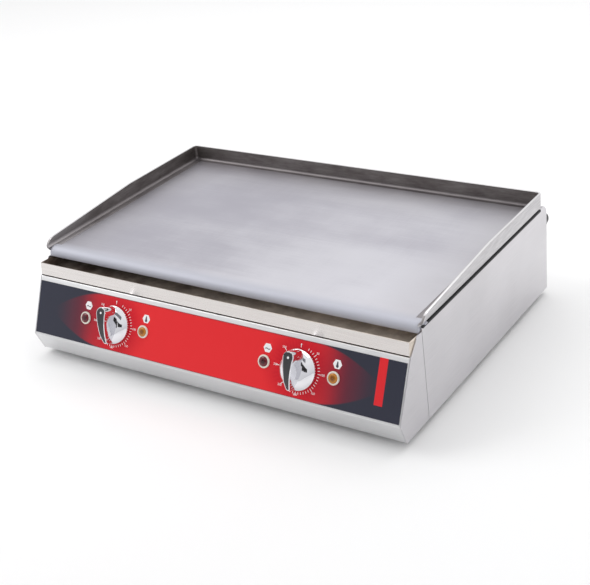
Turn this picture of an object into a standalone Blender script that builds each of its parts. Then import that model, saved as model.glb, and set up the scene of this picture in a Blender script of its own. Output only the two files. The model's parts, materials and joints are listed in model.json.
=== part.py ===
"""A counter-top flat top griddle with two electric heating zones.

+X is the griddle's right as the cook sees it, +Y its back and +Z up. While it is built, y = 0 is the
lower edge of the sloped control panel and z = 0 the body's underside. At the end the whole griddle is
moved so that the origin is the middle of its footprint, on the plane that the feet stand on.
"""

import math

import bmesh
import bpy
import numpy as np
from mathutils import Vector

# ---------------------------------------------------------------- driving dimensions, in metres
BODY_WIDTH = 0.700
BODY_DEPTH = 0.527
BODY_HEIGHT = 0.1585
SHEET = 0.0015  # body sheet
FLANGE_SIDE = 0.012  # folded top edge of a side panel
LEDGE = 0.0414  # rear panel's shelf behind the plate
LEDGE_FOLD = 0.012  # its front edge, turned down
REAR_RADIUS = 0.020  # rear panel's top bend
PAN_RIM = 0.012  # height of the base pan's rim

PANEL_LEAN = math.radians(24.4)  # control panel's face, back from upright
PANEL_DROP = 0.0331  # the body's top down to the panel's upper edge
CHAMFER_HEIGHT = 0.035  # the panel's lower edge above the body's underside
CHAMFER_DEPTH = 0.0146
PANEL_RETURN = 0.040  # depth of its turned-in bottom
SHELF = 0.019  # its turned-in top, which the tray slides on
CAP_RISE = (0.0232, 0.0241)  # the panel's upper edge to the peak of an end cap, in y and z
SEAM_BACK, SEAM_LEAN = 0.0123, 0.0067  # seam behind an end cap's peak, and how far it leans

PLATE_THICK = 0.008
PLATE_RISE = 0.0053  # cooking surface above the body
PLATE_GAP = 0.002  # plate's edge to the body's folded edges
LIP_SETBACK = 0.0244  # tray's front wall to the plate's turned-down edge
LIP_RADIUS = 0.013
LIP_DROP = 0.0138  # cooking surface to the lip's lower edge
LIP_CORNER = 0.015  # rounding of the lip's ends in plan
WIDE_LIP = 0.019  # depth of the plate's full-width front part
GUARD_THICK = 0.0035
GUARD_HEIGHT = 0.0264  # above the cooking surface
GUARD_OVERHANG = 0.0055  # guard's outer face past the body's side
GUARD_BEND = 0.005  # inner radius of the guard's foot
GUARD_REAR = 0.0306  # guard's outer face to the body's back
GUARD_NOSE = 0.022  # rounding of a side guard's front end
GUARD_FRONT = 0.0016  # side guard's front end ahead of the lip
GUARD_SLOPE, GUARD_FALL = 0.230, 0.0150  # the sloping front part of its top edge, long and high

TRAY_SHEET = 0.0012
TRAY_FRONT = 0.0220  # height of the tray's front wall
TRAY_REAR = 0.0186
TRAY_DEPTH = 0.069
TRAY_LEAN = 0.0026  # front wall's top edge behind its lower edge
TRAY_GAP = 0.0008  # under the tray and at each of its ends

OVERLAY_THICK = 0.0005
OVERLAY_MARGINS = {"top": 0.0078, "bottom": 0.0036, "left": 0.0028, "right": 0.0037}

KNOB_X = {"left": -0.1801, "right": 0.1735}
KNOB_TURN = {"left": math.radians(8), "right": 0.0}  # how far each stands from upright
KNOB_BELOW = 0.001  # knob axes below the overlay's middle
KNOB_RADIUS = 0.031
KNOB_RIM = 0.0055  # height of the skirt's rim above the panel's face
KNOB_CROWN = 0.0150  # and of its middle, under the grip
GRIP_TOP = 0.0342  # the highest point of the grip's face
GRIP_ARC, GRIP_APEX = 0.085, 0.014  # radius of the face in side view, and its highest point up the slope
GRIP_FACE = ((0.0090, 0.0205), (0.0042, -0.0255))  # radius and height of the teardrop's two ends
GRIP_ROOT = ((0.0133, 0.0167), (0.0030, -0.0270))  # the same where it meets the skirt
GRIP_FRAME, INLAY_SEAT = 0.0015, 0.0014  # metal round the inlay, and how deep the inlay sits
SHAFT_RADIUS = 0.003
SHAFT_END = 0.018
BUSH_RADIUS = 0.005
THERMOSTAT_SIZE, THERMOSTAT_DEEP = 0.044, 0.028
THERMOSTAT_FLOOR = 0.010  # solid back of the thermostat behind its shaft
PILOT_SPREAD = 0.0604  # knob axis to pilot lamp
PILOT_RADIUS = 0.0103
PILOT_LENS, PILOT_BARREL = 0.0076, 0.0065  # their radii
PILOT_TALL, PILOT_DEEP = 0.0022, 0.026  # ring above the overlay, barrel behind the panel's face
PILOT_CROWN = 0.0016  # how far a lens domes

RAIL_WIDTH, RAIL_HEIGHT = 0.020, 0.030
RUNNER = 0.014  # each leg of a tray runner's angle
ZONE_X = 0.168  # centre of a heating zone
ELEMENT_RADIUS = 0.004
ELEMENT_PITCH = 0.070
ELEMENT_PASSES = 4
ELEMENT_LEG = 0.0525  # how far its cold ends reach down
PRESS_THICK = 0.002
BLANKET_THICK = 0.034
SHIELD_SHEET = 0.0008
BULB_RADIUS, BULB_LENGTH = 0.003, 0.090
BULB_BACK = 0.1065  # the bulb's front end behind the element's legs
CAPILLARY_RADIUS = 0.001
CAPILLARY_BEND = 0.007

LOOM_RADIUS, LOOM_Z, LOOM_BEND = 0.004, 0.020, 0.020
BLOCK_SIZE = (0.050, 0.022, 0.028)  # terminal block
TERMINALS, TERMINAL_WELL = 4, (0.0028, 0.008)  # their number, and each well's radius and depth
LIMITER_SIZE, LIMITER_Z = (0.040, 0.026, 0.030), 0.060  # safety thermostat
RESET_STEM = (0.004, 0.022)  # its radius and height
VENTS, VENT_PITCH, VENT_WIDTH = 9, 0.016, 0.006
VENT_X, VENT_Z = 0.150, (0.035, 0.075)  # middle of each group of slots, and their ends

GLAND_INSET, GLAND_BELOW = 0.020, 0.043  # from the body's side and from its top
GLAND_RADIUS, GLAND_BORE, GLAND_THREAD = 0.0135, 0.0055, 0.0095
GLAND_FLANGE, GLAND_STEM = 0.006, 0.014  # its flange and its outer thread, from the rear panel's face
GLAND_TAIL, GLAND_NUT = 0.012, 0.005  # inner thread and lock nut
GLAND_REACH = 0.034
FOOT_HEIGHT, FOOT_RADIUS = 0.010, 0.0135
FOOT_WELL, FOOT_WEB = 0.0052, 0.005  # well that a screw head sits in, and the rubber above it
FOOT_SIDE = {"front": 0.032, "rear": 0.050}  # foot's middle to the body's side
FOOT_PAN, FOOT_BACK = 0.0199, 0.057  # a front foot behind the pan's front edge, a rear one before the back
SCREW_HOLE = 0.0024
SCREW_TALL = 0.007
GAP = 0.0003  # between pieces that touch
SEAM_GAP = 0.0008  # between end cap and side panel

# ---------------------------------------------------------------- worked out from them
SIDES = {"left": -1, "right": 1}
HALF = BODY_WIDTH / 2
INNER = HALF - SHEET  # inner faces of side panels and end caps
UP_Y, UP_Z = math.sin(PANEL_LEAN), math.cos(PANEL_LEAN)  # up the panel's slope
PANEL_FACE = (BODY_HEIGHT - PANEL_DROP - CHAMFER_HEIGHT) / UP_Z  # its length up the slope
PANEL_TOP = (PANEL_FACE * UP_Y, BODY_HEIGHT - PANEL_DROP)
PAN_FRONT = CHAMFER_DEPTH + PANEL_RETURN + GAP
CAP_PEAK = (PANEL_TOP[0] + CAP_RISE[0], PANEL_TOP[1] + CAP_RISE[1])
SEAM_Y = CAP_PEAK[0] + SEAM_BACK
OVERLAY_LOW, OVERLAY_HIGH = OVERLAY_MARGINS["bottom"], PANEL_FACE - OVERLAY_MARGINS["top"]
KNOB_UP = (OVERLAY_LOW + OVERLAY_HIGH) / 2 - KNOB_BELOW  # up the slope from the panel's lower edge
FACE_TOP = GAP + OVERLAY_THICK + GAP  # where a piece sits on the overlay, above the panel's face
GRIP_CENTRE = (GRIP_APEX, GRIP_TOP - GRIP_ARC)  # of the arc that its face follows
TRAY_BOTTOM = PANEL_TOP[1] + TRAY_GAP
TRAY_FRONT_Y = PANEL_TOP[0]
TRAY_BACK_Y = TRAY_FRONT_Y + TRAY_DEPTH
PLATE_TOP = BODY_HEIGHT + PLATE_RISE
PLATE_UNDER = PLATE_TOP - PLATE_THICK
PLATE_HALF = HALF - FLANGE_SIDE - PLATE_GAP
PLATE_FRONT = TRAY_FRONT_Y + TRAY_LEAN + LIP_SETBACK
LEDGE_FRONT = BODY_DEPTH - LEDGE
PLATE_BACK = LEDGE_FRONT - PLATE_GAP
LIP_HALF = INNER - 2 * GAP
LIP_BACK = PLATE_FRONT + WIDE_LIP
GUARD_X = HALF + GUARD_OVERHANG
GUARD_Y = BODY_DEPTH - GUARD_REAR
GUARD_TOP = PLATE_TOP + GUARD_HEIGHT
WALL_Y = TRAY_BACK_Y + 0.0025  # control box wall, just behind the tray
WALL_LOW = SHEET + GAP
WALL_HEIGHT = PLATE_UNDER - 0.011 - WALL_LOW
RAIL_TOP = PLATE_UNDER - GAP
RAIL_FRONT_Y = WALL_Y + SHEET + 0.004
RAIL_REAR_Y = LEDGE_FRONT - LEDGE_FOLD - 0.0166
ELEMENT_Z = PLATE_UNDER - GAP - ELEMENT_RADIUS
ELEMENT_LEG_Y = RAIL_FRONT_Y + RAIL_WIDTH + ELEMENT_RADIUS + 0.0015
ELEMENT_LEG_Z = ELEMENT_Z - ELEMENT_LEG
ELEMENT_FRONT_Y = ELEMENT_LEG_Y + 3 * ELEMENT_RADIUS
ELEMENT_REAR_Y = RAIL_REAR_Y - 0.017
PRESS_TOP = ELEMENT_Z - ELEMENT_RADIUS - GAP
BLANKET_TOP = PRESS_TOP - PRESS_THICK - GAP
BLANKET_LOW = BLANKET_TOP - BLANKET_THICK
BLANKET_FRONT = ELEMENT_LEG_Y + ELEMENT_RADIUS + SHEET + 0.001
BLANKET_BACK = RAIL_REAR_Y - SHEET - 0.003
BLANKET_HALF = INNER - 0.014
BULB_Z = PLATE_UNDER - GAP - BULB_RADIUS
BULB_FRONT = ELEMENT_LEG_Y + BULB_BACK
CAPILLARY_X = {side: sign * ZONE_X - ELEMENT_PITCH for side, sign in SIDES.items()}
CAPILLARY_Z = ELEMENT_LEG_Z - 0.007
CAPILLARY_DROP_Y = RAIL_FRONT_Y + RAIL_WIDTH + 0.0045
GLAND_X, GLAND_Z = HALF - GLAND_INSET, BODY_HEIGHT - GLAND_BELOW
LOOM_X = GLAND_X - 0.030
BLOCK_Y = BODY_DEPTH - 0.037
FEET = {  # x and y of each foot
    f"{end}_{side}": (sign * (HALF - FOOT_SIDE[end]), y)
    for end, y in (("front", PAN_FRONT + FOOT_PAN), ("rear", BODY_DEPTH - FOOT_BACK))
    for side, sign in SIDES.items()
}
INWARD = 1  # offset that thickens a sheet drawn from its back to its front towards the inside


# ---------------------------------------------------------------- helpers
def clear_scene():
    for thing in list(bpy.data.objects):
        bpy.data.objects.remove(thing)


def collection(name):
    group = bpy.data.collections.new(name)
    bpy.context.scene.collection.children.link(group)
    return group


def material(name, colour, roughness, metallic=0.0):
    made = bpy.data.materials.new(name)
    made.use_nodes = True
    shader = made.node_tree.nodes["Principled BSDF"]
    shader.inputs["Base Color"].default_value = (*colour, 1.0)
    shader.inputs["Roughness"].default_value = roughness
    shader.inputs["Metallic"].default_value = metallic
    return made


def empty(name, parent, location=(0, 0, 0), rotation=(0, 0, 0)):
    made = bpy.data.objects.new(name, None)
    made.location, made.rotation_euler, made.parent = location, rotation, parent
    PARTS.objects.link(made)
    return made


def place(name, mesh, parent, location=(0, 0, 0), rotation=(0, 0, 0), finish=None):
    """A part with a finish, or without one a cutter."""
    made = bpy.data.objects.new(name, mesh)
    made.location, made.rotation_euler, made.parent = location, rotation, parent
    if finish:
        mesh.materials.append(finish)
        PARTS.objects.link(made)
    else:
        CUTTERS.objects.link(made)
        made.hide_render = True
        made.display_type = "WIRE"
    return made


def combine(part, tool, operation="DIFFERENCE"):
    step = part.modifiers.new(operation.lower(), "BOOLEAN")
    step.operation, step.object = operation, tool
    return part


def block(name, low, high):
    """A box between two opposite corners."""
    mesh = bmesh.new()
    bmesh.ops.create_cube(mesh, size=1.0)
    low, high = Vector(low), Vector(high)
    bmesh.ops.scale(mesh, verts=mesh.verts, vec=high - low)
    bmesh.ops.translate(mesh, verts=mesh.verts, vec=(low + high) / 2)
    return finished(name, mesh)


def rod(name, radius, low, high, sides=24):
    """A cylinder along Z from low to high."""
    mesh = bmesh.new()
    size = {"radius1": radius, "radius2": radius, "depth": high - low}
    bmesh.ops.create_cone(mesh, cap_ends=True, segments=sides, **size)
    bmesh.ops.translate(mesh, verts=mesh.verts, vec=(0, 0, (low + high) / 2))
    return finished(name, mesh)


def finished(name, work):
    mesh = bpy.data.meshes.new(name)
    work.to_mesh(mesh)
    work.free()
    return mesh


def rounded(corners, radius, steps=4):
    """The line through corners with each inner corner turned on a radius; one radius, or one a corner."""
    points = [Vector(corner) for corner in corners]
    radii = radius if isinstance(radius, (list, tuple)) else [radius] * (len(points) - 2)
    line = [points[0]]
    for before, corner, after, size in zip(points, points[1:], points[2:], radii):
        arriving, leaving = (corner - before).normalized(), (after - corner).normalized()
        turn = arriving.angle(leaving)
        if not size or turn < 1e-4:
            line.append(corner)
            continue
        start = corner - arriving * size * math.tan(turn / 2)
        inward = (leaving - arriving * arriving.dot(leaving)).normalized()
        for step in range(steps + 1):
            angle = turn * step / steps
            forward, sideways = arriving * math.sin(angle), inward * (1 - math.cos(angle))
            line.append(start + (forward + sideways) * size)
    line.append(points[-1])
    return line


def circle(radius, centre=(0, 0), steps=24):
    turns = [2 * math.pi * step / steps for step in range(steps)]
    return [(centre[0] + radius * math.cos(turn), centre[1] + radius * math.sin(turn)) for turn in turns]


def outline(name, loops, depth):
    """A flat shape, its first loop the edge and the others holes, depth thick about its own XY plane."""
    curve = bpy.data.curves.new(name, "CURVE")
    curve.dimensions = "2D"
    curve.fill_mode = "BOTH"
    curve.extrude = depth / 2
    for loop in loops:
        spline = curve.splines.new("POLY")
        spline.points.add(len(loop) - 1)
        for point, (a, b) in zip(spline.points, loop):
            point.co = (a, b, 0.0, 1.0)
        spline.use_cyclic_u = True
    return solid_from_curve(name, curve)


def solid_from_curve(name, curve):
    """The curve as a mesh with its loose caps joined on."""
    drawn = bpy.data.objects.new(name + "_curve", curve)
    bpy.context.scene.collection.objects.link(drawn)
    shape = drawn.evaluated_get(bpy.context.evaluated_depsgraph_get())
    work = bmesh.new()
    work.from_mesh(shape.to_mesh())
    shape.to_mesh_clear()
    bpy.data.objects.remove(drawn)
    bmesh.ops.remove_doubles(work, verts=work.verts, dist=1e-6)
    return finished(name, work)


def tube(name, route, radius):
    """A round tube or wire along a route of points."""
    curve = bpy.data.curves.new(name, "CURVE")
    curve.dimensions = "3D"
    curve.bevel_depth = radius
    curve.bevel_resolution = 2
    curve.use_fill_caps = True
    spline = curve.splines.new("POLY")
    spline.points.add(len(route) - 1)
    for point, where in zip(spline.points, route):
        point.co = (*where, 1.0)
    return solid_from_curve(name, curve)


def folded(name, line, along, low, high):
    """A line in the plane across an axis, drawn out along it: the surface of a folded sheet."""
    spot = {"X": lambda a, b, t: (t, a, b), "Y": lambda a, b, t: (a, t, b)}[along]
    work = bmesh.new()
    corners = [work.verts.new(spot(a, b, low)) for a, b in line]
    edges = [work.edges.new(pair) for pair in zip(corners, corners[1:])]
    drawn = bmesh.ops.extrude_edge_only(work, edges=edges)["geom"]
    moved = [vert for vert in drawn if isinstance(vert, bmesh.types.BMVert)]
    bmesh.ops.translate(work, verts=moved, vec=spot(0, 0, high - low))
    return finished(name, work)


def open_box(name, low, high):
    """A box without its top: the surface of a tray."""
    work = bmesh.new()
    work.from_mesh(block(name, low, high))
    lid = [face for face in work.faces if face.normal.z > 0.9]
    bmesh.ops.delete(work, geom=lid, context="FACES_ONLY")
    return finished(name, work)


def thicken(part, thickness, offset=0.0):
    wall = part.modifiers.new("wall", "SOLIDIFY")
    wall.thickness, wall.offset, wall.use_even_offset = thickness, offset, True
    return part


def turned(name, profile, steps=32, ring=False):
    """The mesh edges of a profile of radius and height; spin() turns it about Z."""
    work = bmesh.new()
    corners = [work.verts.new((radius, 0, height)) for radius, height in profile]
    pairs = list(zip(corners, corners[1:])) + ([(corners[-1], corners[0])] if ring else [])
    for pair in pairs:
        work.edges.new(pair)
    mesh = finished(name, work)
    mesh["steps"] = steps
    return mesh


def spin(part):
    turn = part.modifiers.new("turn", "SCREW")
    turn.steps = turn.render_steps = part.data["steps"]
    turn.use_merge_vertices, turn.merge_threshold = True, 1e-6
    return part


def teardrop(top, low, steps=8):
    """The outline round a big circle and a small one below it, each a radius and a height."""
    (top_radius, top_up), (low_radius, low_up) = top, low
    reach = top_up - low_up
    tilt = math.asin((top_radius - low_radius) / reach)
    upper = [math.pi + tilt - (math.pi + 2 * tilt) * step / steps for step in range(steps + 1)]
    lower = [-tilt - (math.pi - 2 * tilt) * step / steps for step in range(steps + 1)]
    loop = [(top_radius * math.cos(a), top_up + top_radius * math.sin(a)) for a in upper]
    return loop + [(low_radius * math.cos(a), low_up + low_radius * math.sin(a)) for a in lower]


# ---------------------------------------------------------------- body
SIDEWAYS = (math.pi / 2, 0, math.pi / 2)  # an outline drawn in y and z, thick along X


def seam_y(z):
    """Where end cap and side panel meet at a height: the seam leans a little."""
    return SEAM_Y + SEAM_LEAN * (1 - z / CAP_PEAK[1])


def span(one, other):
    """A block's two corners from any two that lie across from each other."""
    pairs = [sorted(pair) for pair in zip(one, other)]
    return [pair[0] for pair in pairs], [pair[1] for pair in pairs]


def side_panels():
    """Flat cheeks with a folded top edge, a leaning front edge and a round upper rear corner."""
    front_low = (seam_y(-0.01) + SEAM_GAP / 2, -0.01)
    front_top = (seam_y(BODY_HEIGHT) + SEAM_GAP / 2, BODY_HEIGHT)
    corner = 2 * SHEET
    edge = rounded(
        [front_low, front_top, (BODY_DEPTH, BODY_HEIGHT), (BODY_DEPTH, -0.01)], [corner, REAR_RADIUS], 6)
    for side, sign in SIDES.items():
        middle = HALF - SHEET / 2
        bend = [
            (sign * (HALF - FLANGE_SIDE), BODY_HEIGHT - SHEET / 2),
            (sign * middle, BODY_HEIGHT - SHEET / 2),
            (sign * middle, 0.0),
        ]
        sheet = folded(f"side_panel_{side}", rounded(bend, SHEET, 3), "Y", SEAM_Y - 0.01, BODY_DEPTH + 0.01)
        panel = thicken(place(f"side_panel_{side}", sheet, GRIDDLE, finish=STEEL), SHEET)
        keep = outline(f"side_{side}_keep", [edge], BODY_WIDTH)
        combine(panel, place(f"side_{side}_keep", keep, GRIDDLE, rotation=SIDEWAYS), "INTERSECT")
        deep = BODY_HEIGHT - 2 * REAR_RADIUS
        notches = {"front": (0, LIP_BACK + PLATE_GAP), "rear": (LEDGE_FRONT - GAP, BODY_DEPTH + 0.01)}
        for end, (start, stop) in notches.items():
            notch = block("notch", *span((sign * INNER, start, deep), (0, stop, BODY_HEIGHT + 0.01)))
            combine(panel, place(f"side_{side}_notch_{end}", notch, GRIDDLE))


def rear_panel():
    """The back sheet, bent forward on a large radius into the ledge behind the plate."""
    mid = SHEET / 2
    line = rounded(
        [
            (LEDGE_FRONT + mid, BODY_HEIGHT - LEDGE_FOLD),
            (LEDGE_FRONT + mid, BODY_HEIGHT - mid),
            (BODY_DEPTH - mid, BODY_HEIGHT - mid),
            (BODY_DEPTH - mid, 0.0),
        ],
        [SHEET, REAR_RADIUS - mid],
        6,
    )
    sheet = folded("rear_panel", line, "X", GAP - INNER, INNER - GAP)
    panel = thicken(place("rear_panel", sheet, GRIDDLE, finish=STEEL), SHEET)
    hole = rod("gland_hole", GLAND_THREAD + GAP, -0.01, 0.01)
    combine(panel, place("gland_hole", hole, GRIDDLE, (GLAND_X, BODY_DEPTH, GLAND_Z), (math.pi / 2, 0, 0)))
    for side, sign in SIDES.items():
        for number in range(VENTS):
            x = sign * VENT_X + (number - (VENTS - 1) / 2) * VENT_PITCH - VENT_WIDTH / 2
            low = (x, BODY_DEPTH - 0.01, VENT_Z[0])
            slot = block("vent", low, (x + VENT_WIDTH, BODY_DEPTH + 0.01, VENT_Z[1]))
            combine(panel, place(f"vent_{side}_{number}", slot, GRIDDLE))


def base_pan():
    """The floor of the body: a shallow tray inside the side and rear panels."""
    low = (GAP - INNER, PAN_FRONT, 0)
    high = (INNER - GAP, BODY_DEPTH - SHEET - GAP, PAN_RIM)
    pan = thicken(place("base_pan", open_box("base_pan", low, high), GRIDDLE, finish=STEEL), SHEET, -1)
    for name, spot in FEET.items():
        combine(pan, place(f"{name}_hole", rod("hole", SCREW_HOLE, -0.01, 0.01, 12), GRIDDLE, (*spot, 0)))


def control_panel():
    """One folded sheet: turned-in top, sloped face, chamfer and turned-in bottom, cut for the controls."""
    outer = [
        (PANEL_TOP[0] + SHELF, PANEL_TOP[1]), PANEL_TOP, (0, CHAMFER_HEIGHT), (CHAMFER_DEPTH, 0),
        (CHAMFER_DEPTH + PANEL_RETURN, 0),
    ]
    line = rounded(outer, [SHEET * 1.4, SHEET * 2, SHEET * 2], 3)
    sheet = folded("control_panel", line, "X", GAP - INNER, INNER - GAP)
    panel = thicken(place("control_panel", sheet, GRIDDLE, finish=STEEL), SHEET, INWARD)
    for side, x in KNOB_X.items():
        bush = rod("bush_hole", BUSH_RADIUS + GAP, -0.01, 0.01)
        combine(panel, place(f"bush_hole_{side}", bush, PANEL, (x, KNOB_UP, 0)))
        for hand in SIDES.values():
            barrel = rod("pilot_hole", PILOT_BARREL + GAP, -0.01, 0.01)
            spot = (x + hand * PILOT_SPREAD, KNOB_UP, 0)
            combine(panel, place(f"pilot_hole_{side}_{hand}", barrel, PANEL, spot))


def end_caps():
    """Cheeks of the control box. Above the panel they fall away and leave the tray's ends in view."""
    edge = [
        (CHAMFER_DEPTH, 0), (0, CHAMFER_HEIGHT), PANEL_TOP, CAP_PEAK,
        (seam_y(CAP_PEAK[1]) - SEAM_GAP / 2, CAP_PEAK[1]), (seam_y(0) - SEAM_GAP / 2, 0),
    ]
    for side, sign in SIDES.items():
        cap = outline(f"end_cap_{side}", [edge], SHEET)
        place(f"end_cap_{side}", cap, GRIDDLE, (sign * (HALF - SHEET / 2), 0, 0), SIDEWAYS, STEEL)


def overlay():
    """The printed film on the panel's face, punched for the shafts and pilot lamps."""
    left, right = OVERLAY_MARGINS["left"] - HALF, HALF - OVERLAY_MARGINS["right"]
    loops = [[(left, OVERLAY_LOW), (right, OVERLAY_LOW), (right, OVERLAY_HIGH), (left, OVERLAY_HIGH)]]
    for x in KNOB_X.values():
        loops.append(circle(BUSH_RADIUS + GAP, (x, KNOB_UP)))
        loops += [circle(PILOT_BARREL + GAP, (x + hand * PILOT_SPREAD, KNOB_UP)) for hand in SIDES.values()]
    film = outline("graphic_overlay", loops, OVERLAY_THICK)
    place("graphic_overlay", film, PANEL, (0, 0, GAP + OVERLAY_THICK / 2), finish=PRINT)


def grease_tray():
    """A removable trough as wide as the body, whose leaning front wall shows above the control panel."""
    half = INNER - TRAY_GAP
    work = bmesh.new()
    low, high = (-half, TRAY_FRONT_Y, TRAY_BOTTOM), (half, TRAY_BACK_Y, TRAY_BOTTOM + TRAY_FRONT)
    work.from_mesh(open_box("trough", low, high))
    for vert in work.verts:
        if vert.co.z > TRAY_BOTTOM + GAP:
            if vert.co.y < TRAY_BACK_Y - GAP:
                vert.co.y += TRAY_LEAN
            else:
                vert.co.z = TRAY_BOTTOM + TRAY_REAR
    tray = place("grease_tray", finished("grease_tray", work), GRIDDLE, finish=STEEL)
    thicken(tray, TRAY_SHEET, -1)


def supports():
    """Cross rails under the plate, runners under the tray and the wall between heat and controls."""
    for name, y in (("plate_rail_front", RAIL_FRONT_Y), ("plate_rail_rear", RAIL_REAR_Y)):
        line = [
            (y + RAIL_WIDTH, RAIL_TOP - SHEET / 2), (y + SHEET / 2, RAIL_TOP - SHEET / 2),
            (y + SHEET / 2, RAIL_TOP - RAIL_HEIGHT), (y + RAIL_WIDTH, RAIL_TOP - RAIL_HEIGHT),
        ]
        sheet = folded(name, line, "X", GAP - INNER, INNER - GAP)
        thicken(place(name, sheet, GRIDDLE, finish=GALVANISED), SHEET)
    reach = INNER - SHEET - 2 * GAP
    start, end = PANEL_TOP[0] + SHELF + GAP, WALL_Y - GAP
    for side, sign in SIDES.items():
        top, out = TRAY_BOTTOM - TRAY_GAP - SHEET / 2, INNER - GAP - SHEET / 2
        line = [(sign * (out - RUNNER), top), (sign * out, top), (sign * out, top - RUNNER)]
        runner = folded(f"tray_runner_{side}", line, "Y", start, end)
        thicken(place(f"tray_runner_{side}", runner, GRIDDLE, finish=GALVANISED), SHEET)
    loops = [[(-reach, 0.0), (reach, 0.0), (reach, WALL_HEIGHT), (-reach, WALL_HEIGHT)]]
    for x in CAPILLARY_X.values():
        loops.append(circle(CAPILLARY_RADIUS + 0.003, (x, CAPILLARY_Z - WALL_LOW), 12))
    loops.append(circle(LOOM_RADIUS + 0.002, (LOOM_X, LOOM_Z - WALL_LOW), 16))
    wall = outline("control_box_wall", loops, SHEET)
    spot, upright = (0, WALL_Y + SHEET / 2, WALL_LOW), (math.pi / 2, 0, 0)
    place("control_box_wall", wall, GRIDDLE, spot, upright, GALVANISED)


# ---------------------------------------------------------------- plate and guards
def griddle_plate():
    """Thick steel with its front edge turned down over the tray; its front corners are round in plan."""
    bottom = PLATE_TOP - LIP_DROP
    line = rounded([(PLATE_BACK, PLATE_TOP), (PLATE_FRONT, PLATE_TOP), (PLATE_FRONT, bottom)], LIP_RADIUS, 6)
    sheet = folded("griddle_plate", line, "X", -LIP_HALF, LIP_HALF)
    plate = thicken(place("griddle_plate", sheet, GRIDDLE, finish=GROUND), PLATE_THICK, INWARD)
    plan = rounded(
        [
            (0, PLATE_FRONT - 0.01), (0, PLATE_FRONT), (LIP_HALF, PLATE_FRONT), (LIP_HALF, LIP_BACK),
            (PLATE_HALF, LIP_BACK), (PLATE_HALF, PLATE_BACK + 0.01),
        ],
        [0, LIP_CORNER, 0, 0],
        6,
    )[2:]
    loop = plan + [Vector((-point.x, point.y)) for point in reversed(plan)]
    keep = outline("plate_keep", [loop], 2 * PLATE_TOP)
    combine(plate, place("plate_keep", keep, GRIDDLE, (0, 0, PLATE_TOP)), "INTERSECT")


def splash_guards():
    """Upright strips whose bent foot butts against the plate's edge, the rear one between the others."""
    mid = GUARD_THICK / 2
    bend = GUARD_BEND + mid
    foot = PLATE_TOP - mid
    for side, sign in SIDES.items():
        edge, face = sign * (PLATE_HALF + GAP), sign * (GUARD_X - mid)
        line = [(edge, foot), (face, foot), (face, GUARD_TOP)]
        start = PLATE_FRONT - GUARD_FRONT
        sheet = folded(f"splash_guard_{side}", rounded(line, bend, 5), "Y", start, GUARD_Y)
        guard = thicken(place(f"splash_guard_{side}", sheet, GRIDDLE, finish=GROUND), GUARD_THICK)
        low, high, back = PLATE_TOP - 0.02, GUARD_TOP + 0.01, GUARD_Y + 0.01
        slope = [(start, low), (start, GUARD_TOP - GUARD_FALL), (start + GUARD_SLOPE, GUARD_TOP + GAP)]
        keep = rounded([*slope, (back, GUARD_TOP + GAP)], [GUARD_NOSE, 0], 6)
        nose = outline(f"guard_{side}_nose", [[*keep, Vector((back, low))]], BODY_WIDTH * 2)
        combine(guard, place(f"guard_{side}_nose", nose, GRIDDLE, rotation=SIDEWAYS), "INTERSECT")
        beside = sign * (LIP_HALF + GAP)
        relief = block("relief", *span((beside, start - 0.01, low), (0, LIP_BACK + GAP, high)))
        combine(guard, place(f"guard_{side}_relief", relief, GRIDDLE))
        inside, stop = sign * (GUARD_X - GUARD_THICK), GUARD_Y - GUARD_THICK - GAP
        rear = block("rear", *span((inside, stop, low), (0, GUARD_Y + 0.01, high)))
        combine(guard, place(f"guard_{side}_rear", rear, GRIDDLE))
    line = [(PLATE_BACK + GAP, foot), (GUARD_Y - mid, foot), (GUARD_Y - mid, GUARD_TOP)]
    reach = GUARD_X - GUARD_THICK - GAP
    sheet = folded("splash_guard_rear", rounded(line, bend, 5), "X", -reach, reach)
    rear = thicken(place("splash_guard_rear", sheet, GRIDDLE, finish=GROUND), GUARD_THICK)
    for side, sign in SIDES.items():
        near = (sign * PLATE_HALF, PLATE_BACK - 0.01, PLATE_TOP - 0.02)
        corner = block("corner", *span(near, (sign * GUARD_X, GUARD_Y - GUARD_THICK, GUARD_TOP)))
        combine(rear, place(f"guard_rear_corner_{side}", corner, GRIDDLE))


# ---------------------------------------------------------------- controls
def thermostats():
    """Each has a body behind the panel with a bush through it; the shaft turns with its knob."""
    half, front = THERMOSTAT_SIZE / 2, -SHEET - GAP
    back = front - THERMOSTAT_DEEP
    floor = back + THERMOSTAT_FLOOR
    for side in SIDES:
        box = block("thermostat", (-half, -half, back), (half, half, front))
        unit = place(f"thermostat_{side}", box, AXES[side], finish=BAKELITE)
        bush = rod("bush", BUSH_RADIUS, (back + front) / 2, FACE_TOP)
        combine(unit, place(f"bush_{side}", bush, AXES[side]), "UNION")
        bore = rod("bore", SHAFT_RADIUS + GAP, floor, FACE_TOP + 0.01)
        combine(unit, place(f"bore_{side}", bore, AXES[side]))
        pin = rod("shaft", SHAFT_RADIUS, floor + GAP, SHAFT_END)
        shaft = place(f"thermostat_shaft_{side}", pin, TURNS[side], finish=BRASS)
        low = (-0.01, SHAFT_RADIUS * 0.55, FACE_TOP + 0.003)
        flat = block("flat", low, (0.01, 0.01, SHAFT_END + 0.01))
        combine(shaft, place(f"flat_{side}", flat, TURNS[side]))


def prism(name, loop, low, high, far_loop=None):
    """A solid between a loop at one height and the same or another loop of as many points at a second."""
    work = bmesh.new()
    rings = []
    for ring, z in ((loop, low), (far_loop or loop, high)):
        rings.append([work.verts.new((a, b, z)) for a, b in ring])
        work.faces.new(rings[-1])
    near, far = rings
    for first in range(len(near)):
        second = (first + 1) % len(near)
        work.faces.new((near[first], near[second], far[second], far[first]))
    bmesh.ops.recalc_face_normals(work, faces=work.faces)
    return finished(name, work)


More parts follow.
